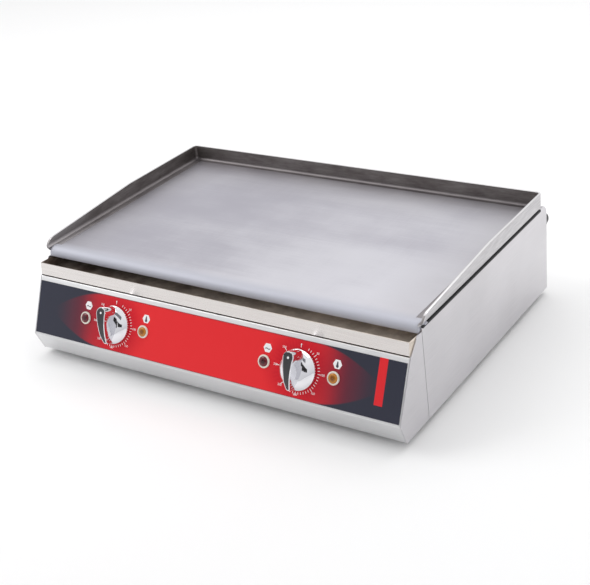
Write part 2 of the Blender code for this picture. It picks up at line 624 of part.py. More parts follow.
def arc_body(name, radius, side):
    """The round body, lying along X, that the grip's face is part of."""
    drum = rod(name, radius, -KNOB_RADIUS, KNOB_RADIUS, 90)
    return place(f"{name}_{side}", drum, TURNS[side], (0, *GRIP_CENTRE), (0, math.pi / 2, 0))


def smaller(ends, by):
    return [(radius - by, up) for radius, up in ends]


def knobs():
    """A round skirt with a tall teardrop grip across it, whose curved front carries a dark inlay."""
    low, rim = FACE_TOP + 2 * GAP, KNOB_RADIUS
    rise = KNOB_CROWN - KNOB_RIM
    skirt = [
        (0, KNOB_CROWN), (0.6 * rim, KNOB_CROWN - 0.02 * rise), (0.80 * rim, KNOB_RIM + 0.68 * rise),
        (0.94 * rim, KNOB_RIM + 0.24 * rise), (rim, KNOB_RIM), (rim, low), (0, low),
    ]
    over = GRIP_TOP + 0.002
    for side in SIDES:
        turn = TURNS[side]
        knob = spin(place(f"knob_{side}", turned("knob", skirt, 40), turn, finish=CHROME))
        wedge = prism("grip", teardrop(*GRIP_ROOT), KNOB_RIM, over, teardrop(*GRIP_FACE))
        grip = place(f"grip_{side}", wedge, turn)
        combine(grip, arc_body("grip_arc", GRIP_ARC, side), "INTERSECT")
        combine(knob, grip, "UNION")
        socket = rod("socket", SHAFT_RADIUS + GAP, 0, SHAFT_END + GAP)
        combine(knob, place(f"socket_{side}", socket, turn))
        loop = teardrop(*smaller(GRIP_FACE, GRIP_FRAME))
        pocket = place(f"pocket_{side}", prism("pocket", loop, KNOB_CROWN + GAP, over), turn)
        combine(pocket, arc_body("pocket_floor", GRIP_ARC - INLAY_SEAT, side))
        combine(knob, pocket)
        loop = teardrop(*smaller(GRIP_FACE, GRIP_FRAME + GAP))
        inlay = place(f"knob_inlay_{side}", prism("inlay", loop, KNOB_CROWN + GAP, over), turn, finish=BLACK)
        combine(inlay, arc_body("inlay_face", GRIP_ARC - GAP, side), "INTERSECT")
        combine(inlay, arc_body("inlay_back", GRIP_ARC - INLAY_SEAT + GAP, side))


def pilot_lamps():
    """A pale ring and barrel through the panel with a domed lens: red for mains, amber for heating."""
    edge = 0.0008  # chamfer of the ring, and its floor under the lens
    floor, top = FACE_TOP + edge, FACE_TOP + PILOT_TALL
    bezel = [
        (0, floor), (PILOT_LENS + GAP, floor), (PILOT_LENS + GAP, top), (PILOT_RADIUS - edge, top),
        (PILOT_RADIUS, top - edge), (PILOT_RADIUS, FACE_TOP), (PILOT_BARREL, FACE_TOP),
        (PILOT_BARREL, -PILOT_DEEP), (0, -PILOT_DEEP),
    ]
    seat, rim = floor + GAP, top - edge / 2
    curve = [step * 0.3 for step in range(5)]
    dome = [(PILOT_LENS * math.sin(a), rim + PILOT_CROWN * math.cos(a)) for a in curve]
    lens = [*dome, (PILOT_LENS, rim), (PILOT_LENS, seat), (0, seat)]
    for side, x in KNOB_X.items():
        for colour, hand, glow in (("red", -1, RED_LENS), ("amber", 1, AMBER_LENS)):
            spot = (x + hand * PILOT_SPREAD, KNOB_UP, 0)
            name = f"{side}_{colour}"
            spin(place(f"pilot_body_{name}", turned("bezel", bezel, 24), PANEL, spot, finish=WHITE))
            spin(place(f"pilot_lens_{name}", turned("lens", lens, 24), PANEL, spot, finish=glow))


# ---------------------------------------------------------------- heating
def heating():
    """Each zone has one bent tube pressed to the plate; both stand on one blanket in a sheet tray."""
    outer = ELEMENT_PITCH * (ELEMENT_PASSES - 1) / 2
    for side, sign in SIDES.items():
        centre = sign * ZONE_X
        corners = [(centre - outer, ELEMENT_LEG_Y, ELEMENT_LEG_Z)]
        corners.append((centre - outer, ELEMENT_LEG_Y, ELEMENT_Z))
        for number in range(ELEMENT_PASSES - 1):
            x, y = centre - outer + number * ELEMENT_PITCH, (ELEMENT_REAR_Y, ELEMENT_FRONT_Y)[number % 2]
            corners += [(x, y, ELEMENT_Z), (x + ELEMENT_PITCH, y, ELEMENT_Z)]
        corners.append((centre + outer, ELEMENT_LEG_Y, ELEMENT_Z))
        corners.append((centre + outer, ELEMENT_LEG_Y, ELEMENT_LEG_Z))
        ends = [2 * ELEMENT_RADIUS]
        turns = ends + [ELEMENT_PITCH / 2 - GAP] * (2 * ELEMENT_PASSES - 2) + ends
        route = rounded(corners, turns, 5)
        place(f"heating_element_{side}", tube("element", route, ELEMENT_RADIUS), GRIDDLE, finish=DARK_TUBE)
        reach = outer + 2 * ELEMENT_RADIUS
        low = (centre - reach, BLANKET_FRONT + 0.004, PRESS_TOP - PRESS_THICK)
        plate = block("press", low, (centre + reach, ELEMENT_REAR_Y - 0.01, PRESS_TOP))
        place(f"press_plate_{side}", plate, GRIDDLE, finish=GALVANISED)
    low, high = (-BLANKET_HALF, BLANKET_FRONT, BLANKET_LOW), (BLANKET_HALF, BLANKET_BACK, BLANKET_TOP)
    blanket = block("blanket", low, high)
    place("insulation_blanket", blanket, GRIDDLE, finish=WOOL)
    wall = GAP + SHIELD_SHEET
    low = (-BLANKET_HALF - wall, BLANKET_FRONT - wall, BLANKET_LOW - wall)
    high = (BLANKET_HALF + wall, BLANKET_BACK + wall, BLANKET_TOP - PRESS_THICK)
    shield = place("heat_shield", open_box("heat_shield", low, high), GRIDDLE, finish=GALVANISED)
    thicken(shield, SHIELD_SHEET, -1)


def sensors():
    """A bulb pressed against the plate between two passes of the element, and its capillary forward."""
    for side, x in CAPILLARY_X.items():
        bulb = rod("bulb", BULB_RADIUS, 0, BULB_LENGTH, 16)
        rear = (x, BULB_FRONT + BULB_LENGTH, BULB_Z)
        place(f"sensor_bulb_{side}", bulb, GRIDDLE, rear, (math.pi / 2, 0, 0), COPPER)
        deep = THERMOSTAT_DEEP + 4 * SHEET
        knob, y = KNOB_X[side], KNOB_UP * UP_Y + deep * UP_Z
        z = CHAMFER_HEIGHT + KNOB_UP * UP_Z - deep * UP_Y
        corners = [
            (x, BULB_FRONT - GAP, BULB_Z), (x, CAPILLARY_DROP_Y, BULB_Z), (x, CAPILLARY_DROP_Y, CAPILLARY_Z),
            (x, WALL_Y - 0.012, CAPILLARY_Z), (knob, WALL_Y - 0.012, z), (knob, y, z),
        ]
        route = rounded(corners, CAPILLARY_BEND, 4)
        place(f"capillary_{side}", tube("capillary", route, CAPILLARY_RADIUS), GRIDDLE, finish=COPPER)


# ---------------------------------------------------------------- wiring, gland and feet
def wiring():
    """Terminal block by the gland, the loom forward to the controls, and the safety thermostat."""
    wide, deep, tall = BLOCK_SIZE
    low = SHEET + GAP
    body = block("terminals", (-wide / 2, -deep / 2, 0), (wide / 2, deep / 2, tall))
    terminals = place("terminal_block", body, GRIDDLE, (LOOM_X, BLOCK_Y, low), finish=WHITE)
    radius, sunk = TERMINAL_WELL
    for number in range(TERMINALS):
        x = (number - (TERMINALS - 1) / 2) * wide / TERMINALS
        well = rod("well", radius, tall - sunk, tall + 0.01, 12)
        combine(terminals, place(f"well_{number}", well, GRIDDLE, (LOOM_X + x, BLOCK_Y, low)))
    start, turn_y = BLOCK_Y - deep / 2 - GAP, WALL_Y - 0.0275
    end = (KNOB_X["right"] + PILOT_SPREAD - 0.002, turn_y - 0.010, CHAMFER_HEIGHT + 0.012)
    route = rounded([(LOOM_X, start, LOOM_Z), (LOOM_X, turn_y, LOOM_Z), end], LOOM_BEND, 5)
    place("supply_loom", tube("loom", route, LOOM_RADIUS), GRIDDLE, finish=BLACK)
    wide, deep, tall = LIMITER_SIZE
    cutout = block("cutout", (-wide / 2, -deep, -tall / 2), (wide / 2, 0, tall / 2))
    limiter = place("safety_thermostat", cutout, GRIDDLE, (0, WALL_Y - GAP, LIMITER_Z), finish=BAKELITE)
    radius, high = RESET_STEM
    stem = rod("stem", radius, tall / 2 - 0.005, tall / 2 - 0.007 + high, 16)
    combine(limiter, place("reset_stem", stem, GRIDDLE, (0, WALL_Y - deep / 2, LIMITER_Z)), "UNION")


def cable_gland():
    """Lock nut inside the rear panel, body through it and domed nut outside, all open for a cord."""
    thread, flange, bore = GLAND_THREAD, GLAND_RADIUS, GLAND_BORE
    neck, mouth = thread - 0.0008, bore + 0.0006
    body = [
        (neck, GLAND_STEM), (neck, GLAND_FLANGE), (flange, GLAND_FLANGE), (flange, GAP), (thread, GAP),
        (thread, -GLAND_TAIL), (bore, -GLAND_TAIL), (bore, GLAND_STEM),
    ]
    nut = [
        (mouth, GLAND_REACH), (0.63 * flange, GLAND_REACH), (0.85 * flange, GLAND_REACH - 0.0025),
        (0.96 * flange, GLAND_REACH - 0.008), (flange, GLAND_REACH - GLAND_STEM),
        (flange, GLAND_FLANGE + GAP), (neck + GAP, GLAND_FLANGE + GAP), (neck + GAP, GLAND_STEM + GAP),
        (mouth, GLAND_STEM + GAP),
    ]
    spot, back = (GLAND_X, BODY_DEPTH, GLAND_Z), (-math.pi / 2, 0, 0)
    for name, profile in (("gland_body", body), ("gland_dome_nut", nut)):
        spin(place(name, turned(name, profile, 24, ring=True), GRIDDLE, spot, back, BLACK))
    lock = outline("lock", [circle(flange + 0.001, steps=6), circle(thread + GAP)], GLAND_NUT)
    spot = (GLAND_X, BODY_DEPTH - SHEET - GAP - GLAND_NUT / 2, GLAND_Z)
    place("gland_lock_nut", lock, GRIDDLE, spot, back, BLACK)


def feet():
    """Four low rubber feet, each on a screw whose head sits in the foot."""
    tip, well, edge = FOOT_RADIUS, FOOT_WELL, 0.0015
    sole = [
        (tip - edge, 0), (tip, -edge), (tip - 0.001, -FOOT_HEIGHT), (well, -FOOT_HEIGHT), (well, -FOOT_WEB),
        (SCREW_HOLE, -FOOT_WEB), (SCREW_HOLE, 0),
    ]
    head = -FOOT_WEB - GAP
    screw = [
        (0, SCREW_TALL), (SCREW_HOLE - GAP, SCREW_TALL), (SCREW_HOLE - GAP, head), (well - 2 * GAP, head),
        (well - 3 * GAP, head - 0.0027), (0, head - 0.0029),
    ]
    for name, (x, y) in FEET.items():
        spot = (x, y, -GAP)
        spin(place(f"foot_{name}", turned("foot", sole, 24, ring=True), GRIDDLE, spot, finish=RUBBER))
        spin(place(f"foot_screw_{name}", turned("screw", screw, 16), GRIDDLE, spot, finish=GALVANISED))


def stand_on_origin():
    """Moves the griddle so that the origin is the middle of its footprint, at the height of its soles."""
    bpy.context.view_layer.update()
    view = bpy.context.evaluated_depsgraph_get()
    corners = []
    for part in PARTS.objects:
        if part.type != "MESH":
            continue
        shape = part.evaluated_get(view)
        mesh = shape.to_mesh()
        points = np.empty(3 * len(mesh.vertices))
        mesh.vertices.foreach_get("co", points)
        turn = np.array(part.matrix_world)
        points = points.reshape(-1, 3) @ turn[:3, :3].T + turn[:3, 3]
        corners += [points.min(axis=0), points.max(axis=0)]
        shape.to_mesh_clear()
    low, high = np.min(corners, axis=0), np.max(corners, axis=0)
    GRIDDLE.location = (-(low[0] + high[0]) / 2, -(low[1] + high[1]) / 2, -low[2])


def shade():
    for part in PARTS.objects:
        if part.type == "MESH":
            part.data.shade_smooth()
            part.data.set_sharp_from_angle(angle=math.radians(30))


clear_scene()
PARTS = collection("flat_top_griddle")
CUTTERS = collection("cutters")

STEEL = material("satin_stainless", (0.74, 0.73, 0.72), 0.28, 1.0)
GROUND = material("ground_plate", (0.62, 0.62, 0.64), 0.42, 1.0)
GALVANISED = material("galvanised_sheet", (0.55, 0.57, 0.58), 0.5, 1.0)
CHROME = material("chrome", (0.88, 0.88, 0.90), 0.06, 1.0)
PRINT = material("printed_film", (0.78, 0.05, 0.05), 0.35)
BLACK = material("black_plastic", (0.02, 0.02, 0.02), 0.4)
BAKELITE = material("bakelite", (0.05, 0.035, 0.03), 0.5)
WHITE = material("white_plastic", (0.85, 0.84, 0.82), 0.4)
RED_LENS = material("red_lens", (0.35, 0.01, 0.02), 0.15)
AMBER_LENS = material("amber_lens", (0.75, 0.33, 0.02), 0.15)
BRASS = material("plated_shaft", (0.66, 0.60, 0.46), 0.35, 1.0)
COPPER = material("copper", (0.72, 0.42, 0.30), 0.35, 1.0)
DARK_TUBE = material("heating_tube", (0.18, 0.18, 0.17), 0.5, 1.0)
WOOL = material("ceramic_wool", (0.86, 0.84, 0.78), 0.95)
RUBBER = material("rubber", (0.06, 0.06, 0.06), 0.8)

GRIDDLE = empty("griddle", None)
PANEL = empty("panel_face", GRIDDLE, (0, 0, CHAMFER_HEIGHT), (math.pi / 2 - PANEL_LEAN, 0, 0))
AXES = {side: empty(f"knob_axis_{side}", PANEL, (x, KNOB_UP, 0)) for side, x in KNOB_X.items()}
TURNS = {side: empty(f"knob_turn_{side}", AXES[side], (0, 0, 0), (0, 0, KNOB_TURN[side])) for side in SIDES}

side_panels()
rear_panel()
base_pan()
control_panel()
end_caps()
overlay()
grease_tray()
supports()
griddle_plate()
splash_guards()
thermostats()
knobs()
pilot_lamps()
heating()
sensors()
wiring()
cable_gland()
feet()
shade()
stand_on_origin()
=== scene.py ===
# %% [markdown]
# A flat top griddle: a folded steel body, a thick cooking plate with splash guards on three sides, and
# a sloped control panel with two chrome knobs. The measured model is loaded first and never moved.
# What follows gives its sheets their finishes and models the pieces that need rounder shapes.

# %% Load the measured model
import json
import math
import bmesh
import bpy
from mathutils import Matrix, Vector


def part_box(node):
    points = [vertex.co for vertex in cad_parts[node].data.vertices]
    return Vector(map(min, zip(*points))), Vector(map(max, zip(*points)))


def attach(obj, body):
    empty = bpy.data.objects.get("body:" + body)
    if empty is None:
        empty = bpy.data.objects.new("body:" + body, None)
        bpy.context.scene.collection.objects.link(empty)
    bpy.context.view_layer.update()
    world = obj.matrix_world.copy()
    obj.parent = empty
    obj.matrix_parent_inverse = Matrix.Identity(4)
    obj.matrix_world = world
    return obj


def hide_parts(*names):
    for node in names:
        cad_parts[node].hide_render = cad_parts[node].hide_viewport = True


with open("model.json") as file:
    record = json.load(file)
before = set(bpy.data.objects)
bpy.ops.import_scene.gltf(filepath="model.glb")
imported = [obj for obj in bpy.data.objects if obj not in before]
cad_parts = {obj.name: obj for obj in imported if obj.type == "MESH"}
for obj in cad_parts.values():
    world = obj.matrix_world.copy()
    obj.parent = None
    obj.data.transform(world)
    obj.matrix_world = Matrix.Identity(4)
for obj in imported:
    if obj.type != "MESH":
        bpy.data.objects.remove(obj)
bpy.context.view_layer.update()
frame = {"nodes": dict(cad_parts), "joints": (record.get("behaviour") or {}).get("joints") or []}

# %% [markdown]
# Every new piece is placed from the measured model. The two knobs turn about axes that stand square on
# the sloped panel, so one of these axes also gives the panel's own directions: across, up the slope
# and out of it. A matrix of them carries a piece from a flat bench to its place on the panel.

# %% Where things are
MM = 0.001
joints = {joint["name"]: joint for joint in frame["joints"]}
knob_axes = {side: Vector(joints[f"knob_{side}_turn"]["pos_m"]) for side in ("left", "right")}
panel_out = -Vector(joints["knob_left_turn"]["axis"]).normalized()
across = Vector((1, 0, 0))
up_slope = panel_out.cross(across).normalized()


def on_panel(x, up, out=0.0, turn=0.0):
    """Bench to panel: x as on the body, up the slope from the knob axes, out from the sheet's face."""
    spot = Vector((x, *knob_axes["left"][1:])) + up_slope * up + panel_out * out
    turned = Matrix((across, up_slope, panel_out)).transposed().to_4x4()
    return Matrix.Translation(spot) @ turned @ Matrix.Rotation(turn, 4, "Z")


plate_low, plate_high = (Vector(corner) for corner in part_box("griddle_plate"))
guard_high = Vector(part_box("splash_guard_rear")[1])
side_low, side_high = (Vector(corner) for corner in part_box("splash_guard_right"))
film_out = 0.8 * MM  # the printed film's face above the panel's sheet
print("knob axes", {side: tuple(round(v, 4) for v in spot) for side, spot in knob_axes.items()})
print("plate", tuple(round(v, 4) for v in plate_low), tuple(round(v, 4) for v in plate_high))

# %% [markdown]
# Blender's modelling tools act on whatever is selected. These short helpers start each step with
# nothing selected, go into edit mode, and pick faces, edges or corners by a rule about their place.

# %% Helpers for modelling
def bench():
    """Object mode with nothing selected."""
    if bpy.context.object and bpy.context.object.mode != "OBJECT":
        bpy.ops.object.mode_set(mode="OBJECT")
    bpy.ops.object.select_all(action="DESELECT")


def hold(*pieces):
    bench()
    for piece in pieces:
        piece.select_set(True)
    bpy.context.view_layer.objects.active = pieces[0]


def edit(piece):
    hold(piece)
    bpy.ops.object.mode_set(mode="EDIT")
    bpy.ops.mesh.select_mode(type="FACE")
    bpy.ops.mesh.select_all(action="SELECT")


def pick(piece, kind, rule):
    """In edit mode, selects the verts, edges or faces for which the rule holds, and says how many."""
    bpy.ops.mesh.select_all(action="DESELECT")
    bpy.ops.mesh.select_mode(type={"verts": "VERT", "edges": "EDGE", "faces": "FACE"}[kind])
    shape = bmesh.from_edit_mesh(piece.data)
    shape.normal_update()
    found = [part for part in getattr(shape, kind) if rule(part)]
    for part in found:
        part.select_set(True)
    shape.select_flush_mode()
    bmesh.update_edit_mesh(piece.data)
    return len(found)


def middle(edge):
    return (edge.verts[0].co + edge.verts[1].co) / 2


def named(name):
    """The piece just added, with its place moved into its mesh."""
    piece = bpy.context.object
    piece.name = piece.data.name = name
    bpy.ops.object.transform_apply(location=True, rotation=True, scale=True)
    return piece


def carry(piece, matrix):
    """Moves a finished piece to its place and keeps that place in its mesh."""
    hold(piece)
    piece.matrix_world = matrix
    bpy.ops.object.transform_apply(location=True, rotation=True, scale=True)
    return piece


def apply(piece, kind, **settings):
    hold(piece)
    step = piece.modifiers.new(kind.lower(), kind)
    for name, value in settings.items():
        setattr(step, name, value)
    bpy.ops.object.modifier_apply(modifier=step.name)
    return piece


def cut(piece, tool, operation="DIFFERENCE"):
    apply(piece, "BOOLEAN", operation=operation, object=tool, solver="EXACT")
    bpy.data.objects.remove(tool)
    return piece


def outside(piece):
    """Doubles merged and every face turned outwards."""
    edit(piece)
    bpy.ops.mesh.remove_doubles(threshold=1e-6)
    bpy.ops.mesh.select_all(action="SELECT")
    bpy.ops.mesh.normals_make_consistent(inside=False)
    bench()
    return piece


def smooth(piece, degrees=30):
    hold(piece)
    bpy.ops.object.shade_smooth_by_angle(angle=math.radians(degrees))
    return piece


def copy_of(piece, name):
    made = piece.copy()
    made.data = piece.data.copy()
    made.name = made.data.name = name
    bpy.context.scene.collection.objects.link(made)
    return made


def raised(name, rings, sides=96):
    """A round piece: a filled circle drawn up ring by ring, each ring a radius and a height."""
    bench()
    radius, height = rings[0]
    bpy.ops.mesh.primitive_circle_add(
        vertices=sides, radius=radius, fill_type="NGON", location=(0, 0, height))
    piece = named(name)
    edit(piece)
    for new_radius, new_height in rings[1:]:
        bpy.ops.mesh.extrude_region_move(
            TRANSFORM_OT_translate={"value": (0, 0, new_height - height)})
        if new_radius != radius:
            scale = new_radius / radius
            bpy.ops.transform.resize(value=(scale, scale, 1), center_override=(0, 0, new_height))
        radius, height = new_radius, new_height
    return outside(piece)


def facts(piece):
    low = [round(min(v.co[i] for v in piece.data.vertices), 4) for i in range(3)]
    high = [round(max(v.co[i] for v in piece.data.vertices), 4) for i in range(3)]
    print(piece.name, len(piece.data.polygons), "faces from", low, "to", high)


print("helpers ready")

# %% [markdown]
# The cooking plate is 8 mm steel. Its front runs wider than the rest, out to the guards, is turned down
# over the grease tray and has round ends. It is made as two blocks: one for the flat plate, and one for
# the front. That one is rounded with bevels, cut away where it passes over the body's sides, and
# hollowed from below with an inset. A union joins them.

# %% The cooking plate
FIT = 0.3 * MM  # between pieces that touch
LIP_DEPTH, LIP_WALL, LIP_HOLLOW = 19 * MM, 6.4 * MM, 5.5 * MM
LIP_CORNER, LIP_ROUND = 15 * MM, 13 * MM  # rounding in plan, and of the top edge
LIP_PAST = 2.5 * MM  # block's ends past the guards; rounded and cut from below, they end inside them
PLATE_HALF = 336 * MM
PLATE_THICK = 8 * MM
SHOULDER = 4.6 * MM  # thickness of the lip's ends, which pass over the body's sides


def block(name, low, high):
    bench()
    low, high = Vector(low), Vector(high)
    bpy.ops.mesh.primitive_cube_add(size=1, location=(low + high) / 2, scale=high - low)
    return named(name)


back_of_lip = plate_low.y + LIP_DEPTH
lip_end = side_high.x + LIP_PAST
nose = block("plate_front", (-lip_end, plate_low.y, plate_low.z), (lip_end, back_of_lip, plate_high.z))
edit(nose)
pick(nose, "edges", lambda e: abs(e.verts[0].co.z - e.verts[1].co.z) > MM and middle(e).y < back_of_lip - MM)
bpy.ops.mesh.bevel(offset=LIP_CORNER, segments=12, affect="EDGES")
pick(nose, "edges", lambda e: min(v.co.z for v in e.verts) > plate_high.z - 1e-5
     and middle(e).y < back_of_lip - 0.1 * MM)
bpy.ops.mesh.bevel(offset=LIP_ROUND, segments=12, affect="EDGES", clamp_overlap=True)
outside(nose)
for sign in (-1, 1):
    near, far = sorted((sign * plate_high.x, sign))
    cut(nose, block("below", (near, plate_low.y - MM, plate_low.z - MM),
                    (far, back_of_lip + MM, plate_high.z - SHOULDER)))
edit(nose)
pick(nose, "faces", lambda f: f.normal.z < -0.9 and f.calc_center_median().z < plate_low.z + MM)
bpy.ops.mesh.inset(thickness=LIP_WALL, use_even_offset=True)
bpy.ops.mesh.extrude_region_move(TRANSFORM_OT_translate={"value": (0, 0, LIP_HOLLOW)})
outside(nose)
plate = block("cooking_plate", (-PLATE_HALF, back_of_lip - 2 * MM, plate_high.z - PLATE_THICK),
              (PLATE_HALF, plate_high.y, plate_high.z))
cut(plate, nose, "UNION")
outside(plate)
smooth(plate, 25)
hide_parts("griddle_plate")
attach(plate, "griddle")
facts(plate)

# %% [markdown]
# The splash guards are one strip of 3.5 mm steel on three sides, bent out of a narrow foot that is
# welded to the plate's edge. Starting from a flat sheet, three edges are drawn up, the fold lines and
# the two rear corners are bevelled round, the middle is cut out, and only then does the sheet get its
# thickness, so that every bend is as thick as the walls. What is kept of the side guards is the inside
# of a block whose top slopes down to a rounded front.

# %% The splash guards
GUARD_THICK, GUARD_FOLD, GUARD_NOSE = 3.5 * MM, 6.7 * MM, 22 * MM
SLOPE, FALL = 230 * MM, 15 * MM  # the sloping front part of the side guards, long and high
CUT_EDGE = 0.5 * MM

half_thick = GUARD_THICK / 2
guard_x = side_high.x - half_thick
guard_front, guard_back = side_low.y, guard_high.y - half_thick
floor_z, top_z = plate_high.z - half_thick, guard_high.z
bench()
bpy.ops.mesh.primitive_plane_add(
    size=1, location=(0, (guard_front + guard_back) / 2, floor_z))
bpy.context.object.scale = (2 * guard_x, guard_back - guard_front, 1)
guard = named("splash_guard")
edit(guard)
pick(guard, "edges", lambda e: middle(e).y > guard_front + MM)
bpy.ops.mesh.extrude_region_move(TRANSFORM_OT_translate={"value": (0, 0, top_z - floor_z)})


def is_fold(edge):
    """A line along the floor's sides or back, or one of the two upright rear corners."""
    low = max(v.co.z for v in edge.verts) < floor_z + 1e-5
    at_side = all(abs(abs(v.co.x) - guard_x) < 1e-5 for v in edge.verts)
    at_back = all(v.co.y > guard_back - 1e-5 for v in edge.verts)
    return (low and (at_side or at_back)) or (at_side and at_back)


pick(guard, "edges", is_fold)
bpy.ops.mesh.bevel(offset=GUARD_FOLD, segments=8, affect="EDGES")
foot_x, foot_y = PLATE_HALF + FIT, plate_high.y + FIT
wide_x, wide_y = plate_high.x + FIT, back_of_lip + FIT
to_side, to_back = (1, 0, 0), (0, 1, 0)
for place, normal in (((foot_x, 0, 0), to_side), ((-foot_x, 0, 0), to_side), ((0, foot_y, 0), to_back),
                      ((0, wide_y, 0), to_back), ((wide_x, 0, 0), to_side), ((-wide_x, 0, 0), to_side)):
    pick(guard, "faces", lambda f: True)
    bpy.ops.mesh.bisect(plane_co=place, plane_no=normal)


def beside_plate(face):
    """Floor that the plate takes up: all inside the foot, and the front part out to the wide lip."""
    spot = face.calc_center_median()
    inside = abs(spot.x) < foot_x and spot.y < foot_y
    return inside or (abs(spot.x) < wide_x and spot.y < wide_y)


pick(guard, "faces", beside_plate)
bpy.ops.mesh.delete(type="FACE")
bench()
outside(guard)
apply(guard, "SOLIDIFY", thickness=GUARD_THICK, offset=0, use_even_offset=True)
outside(guard)
keep = block("keep", (-1, guard_front, floor_z - 20 * MM), (1, guard_high.y + MM, top_z + 0.1 * MM))
edit(keep)
pick(keep, "faces", lambda f: True)
bpy.ops.mesh.bisect(plane_co=(0, guard_front + SLOPE, 0), plane_no=(0, 1, 0))
pick(keep, "verts", lambda v: v.co.y < guard_front + MM and v.co.z > top_z - MM)
bpy.ops.transform.translate(value=(0, 0, -FALL))
pick(keep, "edges", lambda e: all(v.co.y < guard_front + MM and v.co.z > floor_z for v in e.verts))
bpy.ops.mesh.bevel(offset=GUARD_NOSE, segments=12, affect="EDGES")
outside(keep)
cut(guard, keep, "INTERSECT")
outside(guard)
apply(guard, "BEVEL", width=CUT_EDGE, segments=2, limit_method="ANGLE", angle_limit=math.radians(50))
smooth(guard, 35)
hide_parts("splash_guard_left", "splash_guard_right", "splash_guard_rear")
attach(guard, "griddle")
facts(guard)

# %% [markdown]
# Under each side guard a black bead fills the gap between the plate and the body, a dark piece put
# there as painted shade of the gap. It is a long bar with rounded edges.

# %% The dark beads of painted shade
BEAD_LOW, BEAD_ROUND = 2.5 * MM, 0.9 * MM  # bead's lower edge under the body's top, and its edges
BEAD_INSET = 1.6 * MM  # its face behind the guard's
body_high = Vector(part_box("side_panel_right")[1])
beads = []
for side, sign in (("left", -1), ("right", 1)):
    near, far = sorted((sign * (body_high.x + 0.1 * MM), sign * (side_high.x - BEAD_INSET)))
    # Painted shade: a dark bar put in the shaded gap under the guard.
    bead = block(f"seal_{side}", (near, back_of_lip - 13 * MM, body_high.z - BEAD_LOW),
                 (far, guard_high.y - 2 * MM, plate_high.z - GUARD_THICK - 0.1 * MM))
    edit(bead)
    pick(bead, "edges", lambda e: True)
    bpy.ops.mesh.bevel(offset=BEAD_ROUND, segments=3, affect="EDGES")
    outside(bead)
    smooth(bead, 40)
    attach(bead, "griddle")
    beads.append(bead)
    facts(bead)

# %% [markdown]
# A knob is a chrome disc with a tall wedge across it. Seen from the front the wedge is a teardrop, and
# seen from the side its face follows a long arc. The teardrop starts as a filled circle: its lower part
# is made smaller and pulled down, which gives two arcs joined by straight flanks. Drawn up and cut with
# a large round body, it gets its curved face. An inset of that face leaves the thin chrome frame.

# %% The wedge of a knob
ROOT = ((13.3 * MM, 16.7 * MM), (3.0 * MM, -27.0 * MM))  # radius and height of each end, at the disc
FACE = ((9.0 * MM, 20.5 * MM), (4.2 * MM, -25.5 * MM))  # and at the face
ARC, APEX, PEAK = 85 * MM, 14 * MM, 34.2 * MM  # the face's arc, where it is highest and how high
DISC_TOP, RIM = 15 * MM, 5.5 * MM
FRAME, SEAT = 1.5 * MM, 1.2 * MM


def wedge():
    (root_top, root_up), (root_low, root_down) = ROOT
    (face_top, face_up), (face_low, face_down) = FACE
    cut_line = -root_top * (root_top - root_low) / (root_up - root_down)
    bench()
    bpy.ops.mesh.primitive_circle_add(vertices=96, radius=root_top, fill_type="NGON", location=(0, 0, RIM))
    piece = named("wedge")
    edit(piece)
    lower = [v.index for v in piece.data.vertices if v.co.y < cut_line]
    is_lower = set(lower).__contains__
    pick(piece, "verts", lambda v: is_lower(v.index))
    shrink = root_low / root_top
    bpy.ops.transform.resize(value=(shrink, shrink, 1), center_override=(0, 0, RIM))
    bpy.ops.transform.translate(value=(0, root_down - root_up, 0))
    pick(piece, "faces", lambda f: True)
    bpy.ops.transform.translate(value=(0, root_up, 0))
    bpy.ops.mesh.extrude_region_move(TRANSFORM_OT_translate={"value": (0, 0, PEAK + 2 * MM - RIM)})
    high = PEAK + MM
    split = (root_up + root_down) / 2
    pick(piece, "verts", lambda v: v.co.z > high and v.co.y > split)
    grow = face_top / root_top
    bpy.ops.transform.resize(value=(grow, grow, 1), center_override=(0, root_up, high + MM))
    bpy.ops.transform.translate(value=(0, face_up - root_up, 0))
    pick(piece, "verts", lambda v: v.co.z > high and v.co.y < split)
    grow = face_low / root_low
    bpy.ops.transform.resize(value=(grow, grow, 1), center_override=(0, root_down, high + MM))
    bpy.ops.transform.translate(value=(0, face_down - root_down, 0))
    outside(piece)
    bench()
    bpy.ops.mesh.primitive_cylinder_add(vertices=256, radius=ARC, depth=80 * MM,
                                        location=(0, APEX, PEAK - ARC), rotation=(0, math.pi / 2, 0))
    cut(piece, named("arc"), "INTERSECT")
    return piece


def on_arc(face):
    spot = face.calc_center_median()
    reach = math.hypot(spot.y - APEX, spot.z - (PEAK - ARC))
    return abs(reach - ARC) < 0.2 * MM and face.normal.z > 0.8


def selected(piece, kind):
    return [part for part in getattr(bmesh.from_edit_mesh(piece.data), kind) if part.select]


def spot_key(vert):
    return tuple(round(v * 1e6) for v in vert.co)


grip = wedge()
edit(grip)
print("strips on the curved face:", pick(grip, "faces", on_arc))
bpy.ops.mesh.region_to_loop()
rim_spots = {spot_key(vert) for vert in selected(grip, "verts")}
pick(grip, "faces", on_arc)
bpy.ops.mesh.inset(thickness=0.5 * MM, use_even_offset=True)
bpy.ops.mesh.inset(thickness=FRAME - 0.5 * MM, use_even_offset=True)
inner = {face.index for face in selected(grip, "faces")}
bpy.ops.mesh.duplicate()
bpy.ops.mesh.separate(type="SELECTED")
pick(grip, "faces", lambda face: face.index in inner)
bpy.ops.mesh.extrude_region_shrink_fatten(TRANSFORM_OT_shrink_fatten={"value": -SEAT})
pick(grip, "verts", lambda vert: spot_key(vert) in rim_spots)
bpy.ops.transform.translate(value=(0, 0, -0.4 * MM))
bench()
inlay = bpy.data.objects["wedge.001"]
inlay.name = inlay.data.name = "inlay"
edit(inlay)
bpy.ops.transform.translate(value=(0, 0, -0.25 * MM))
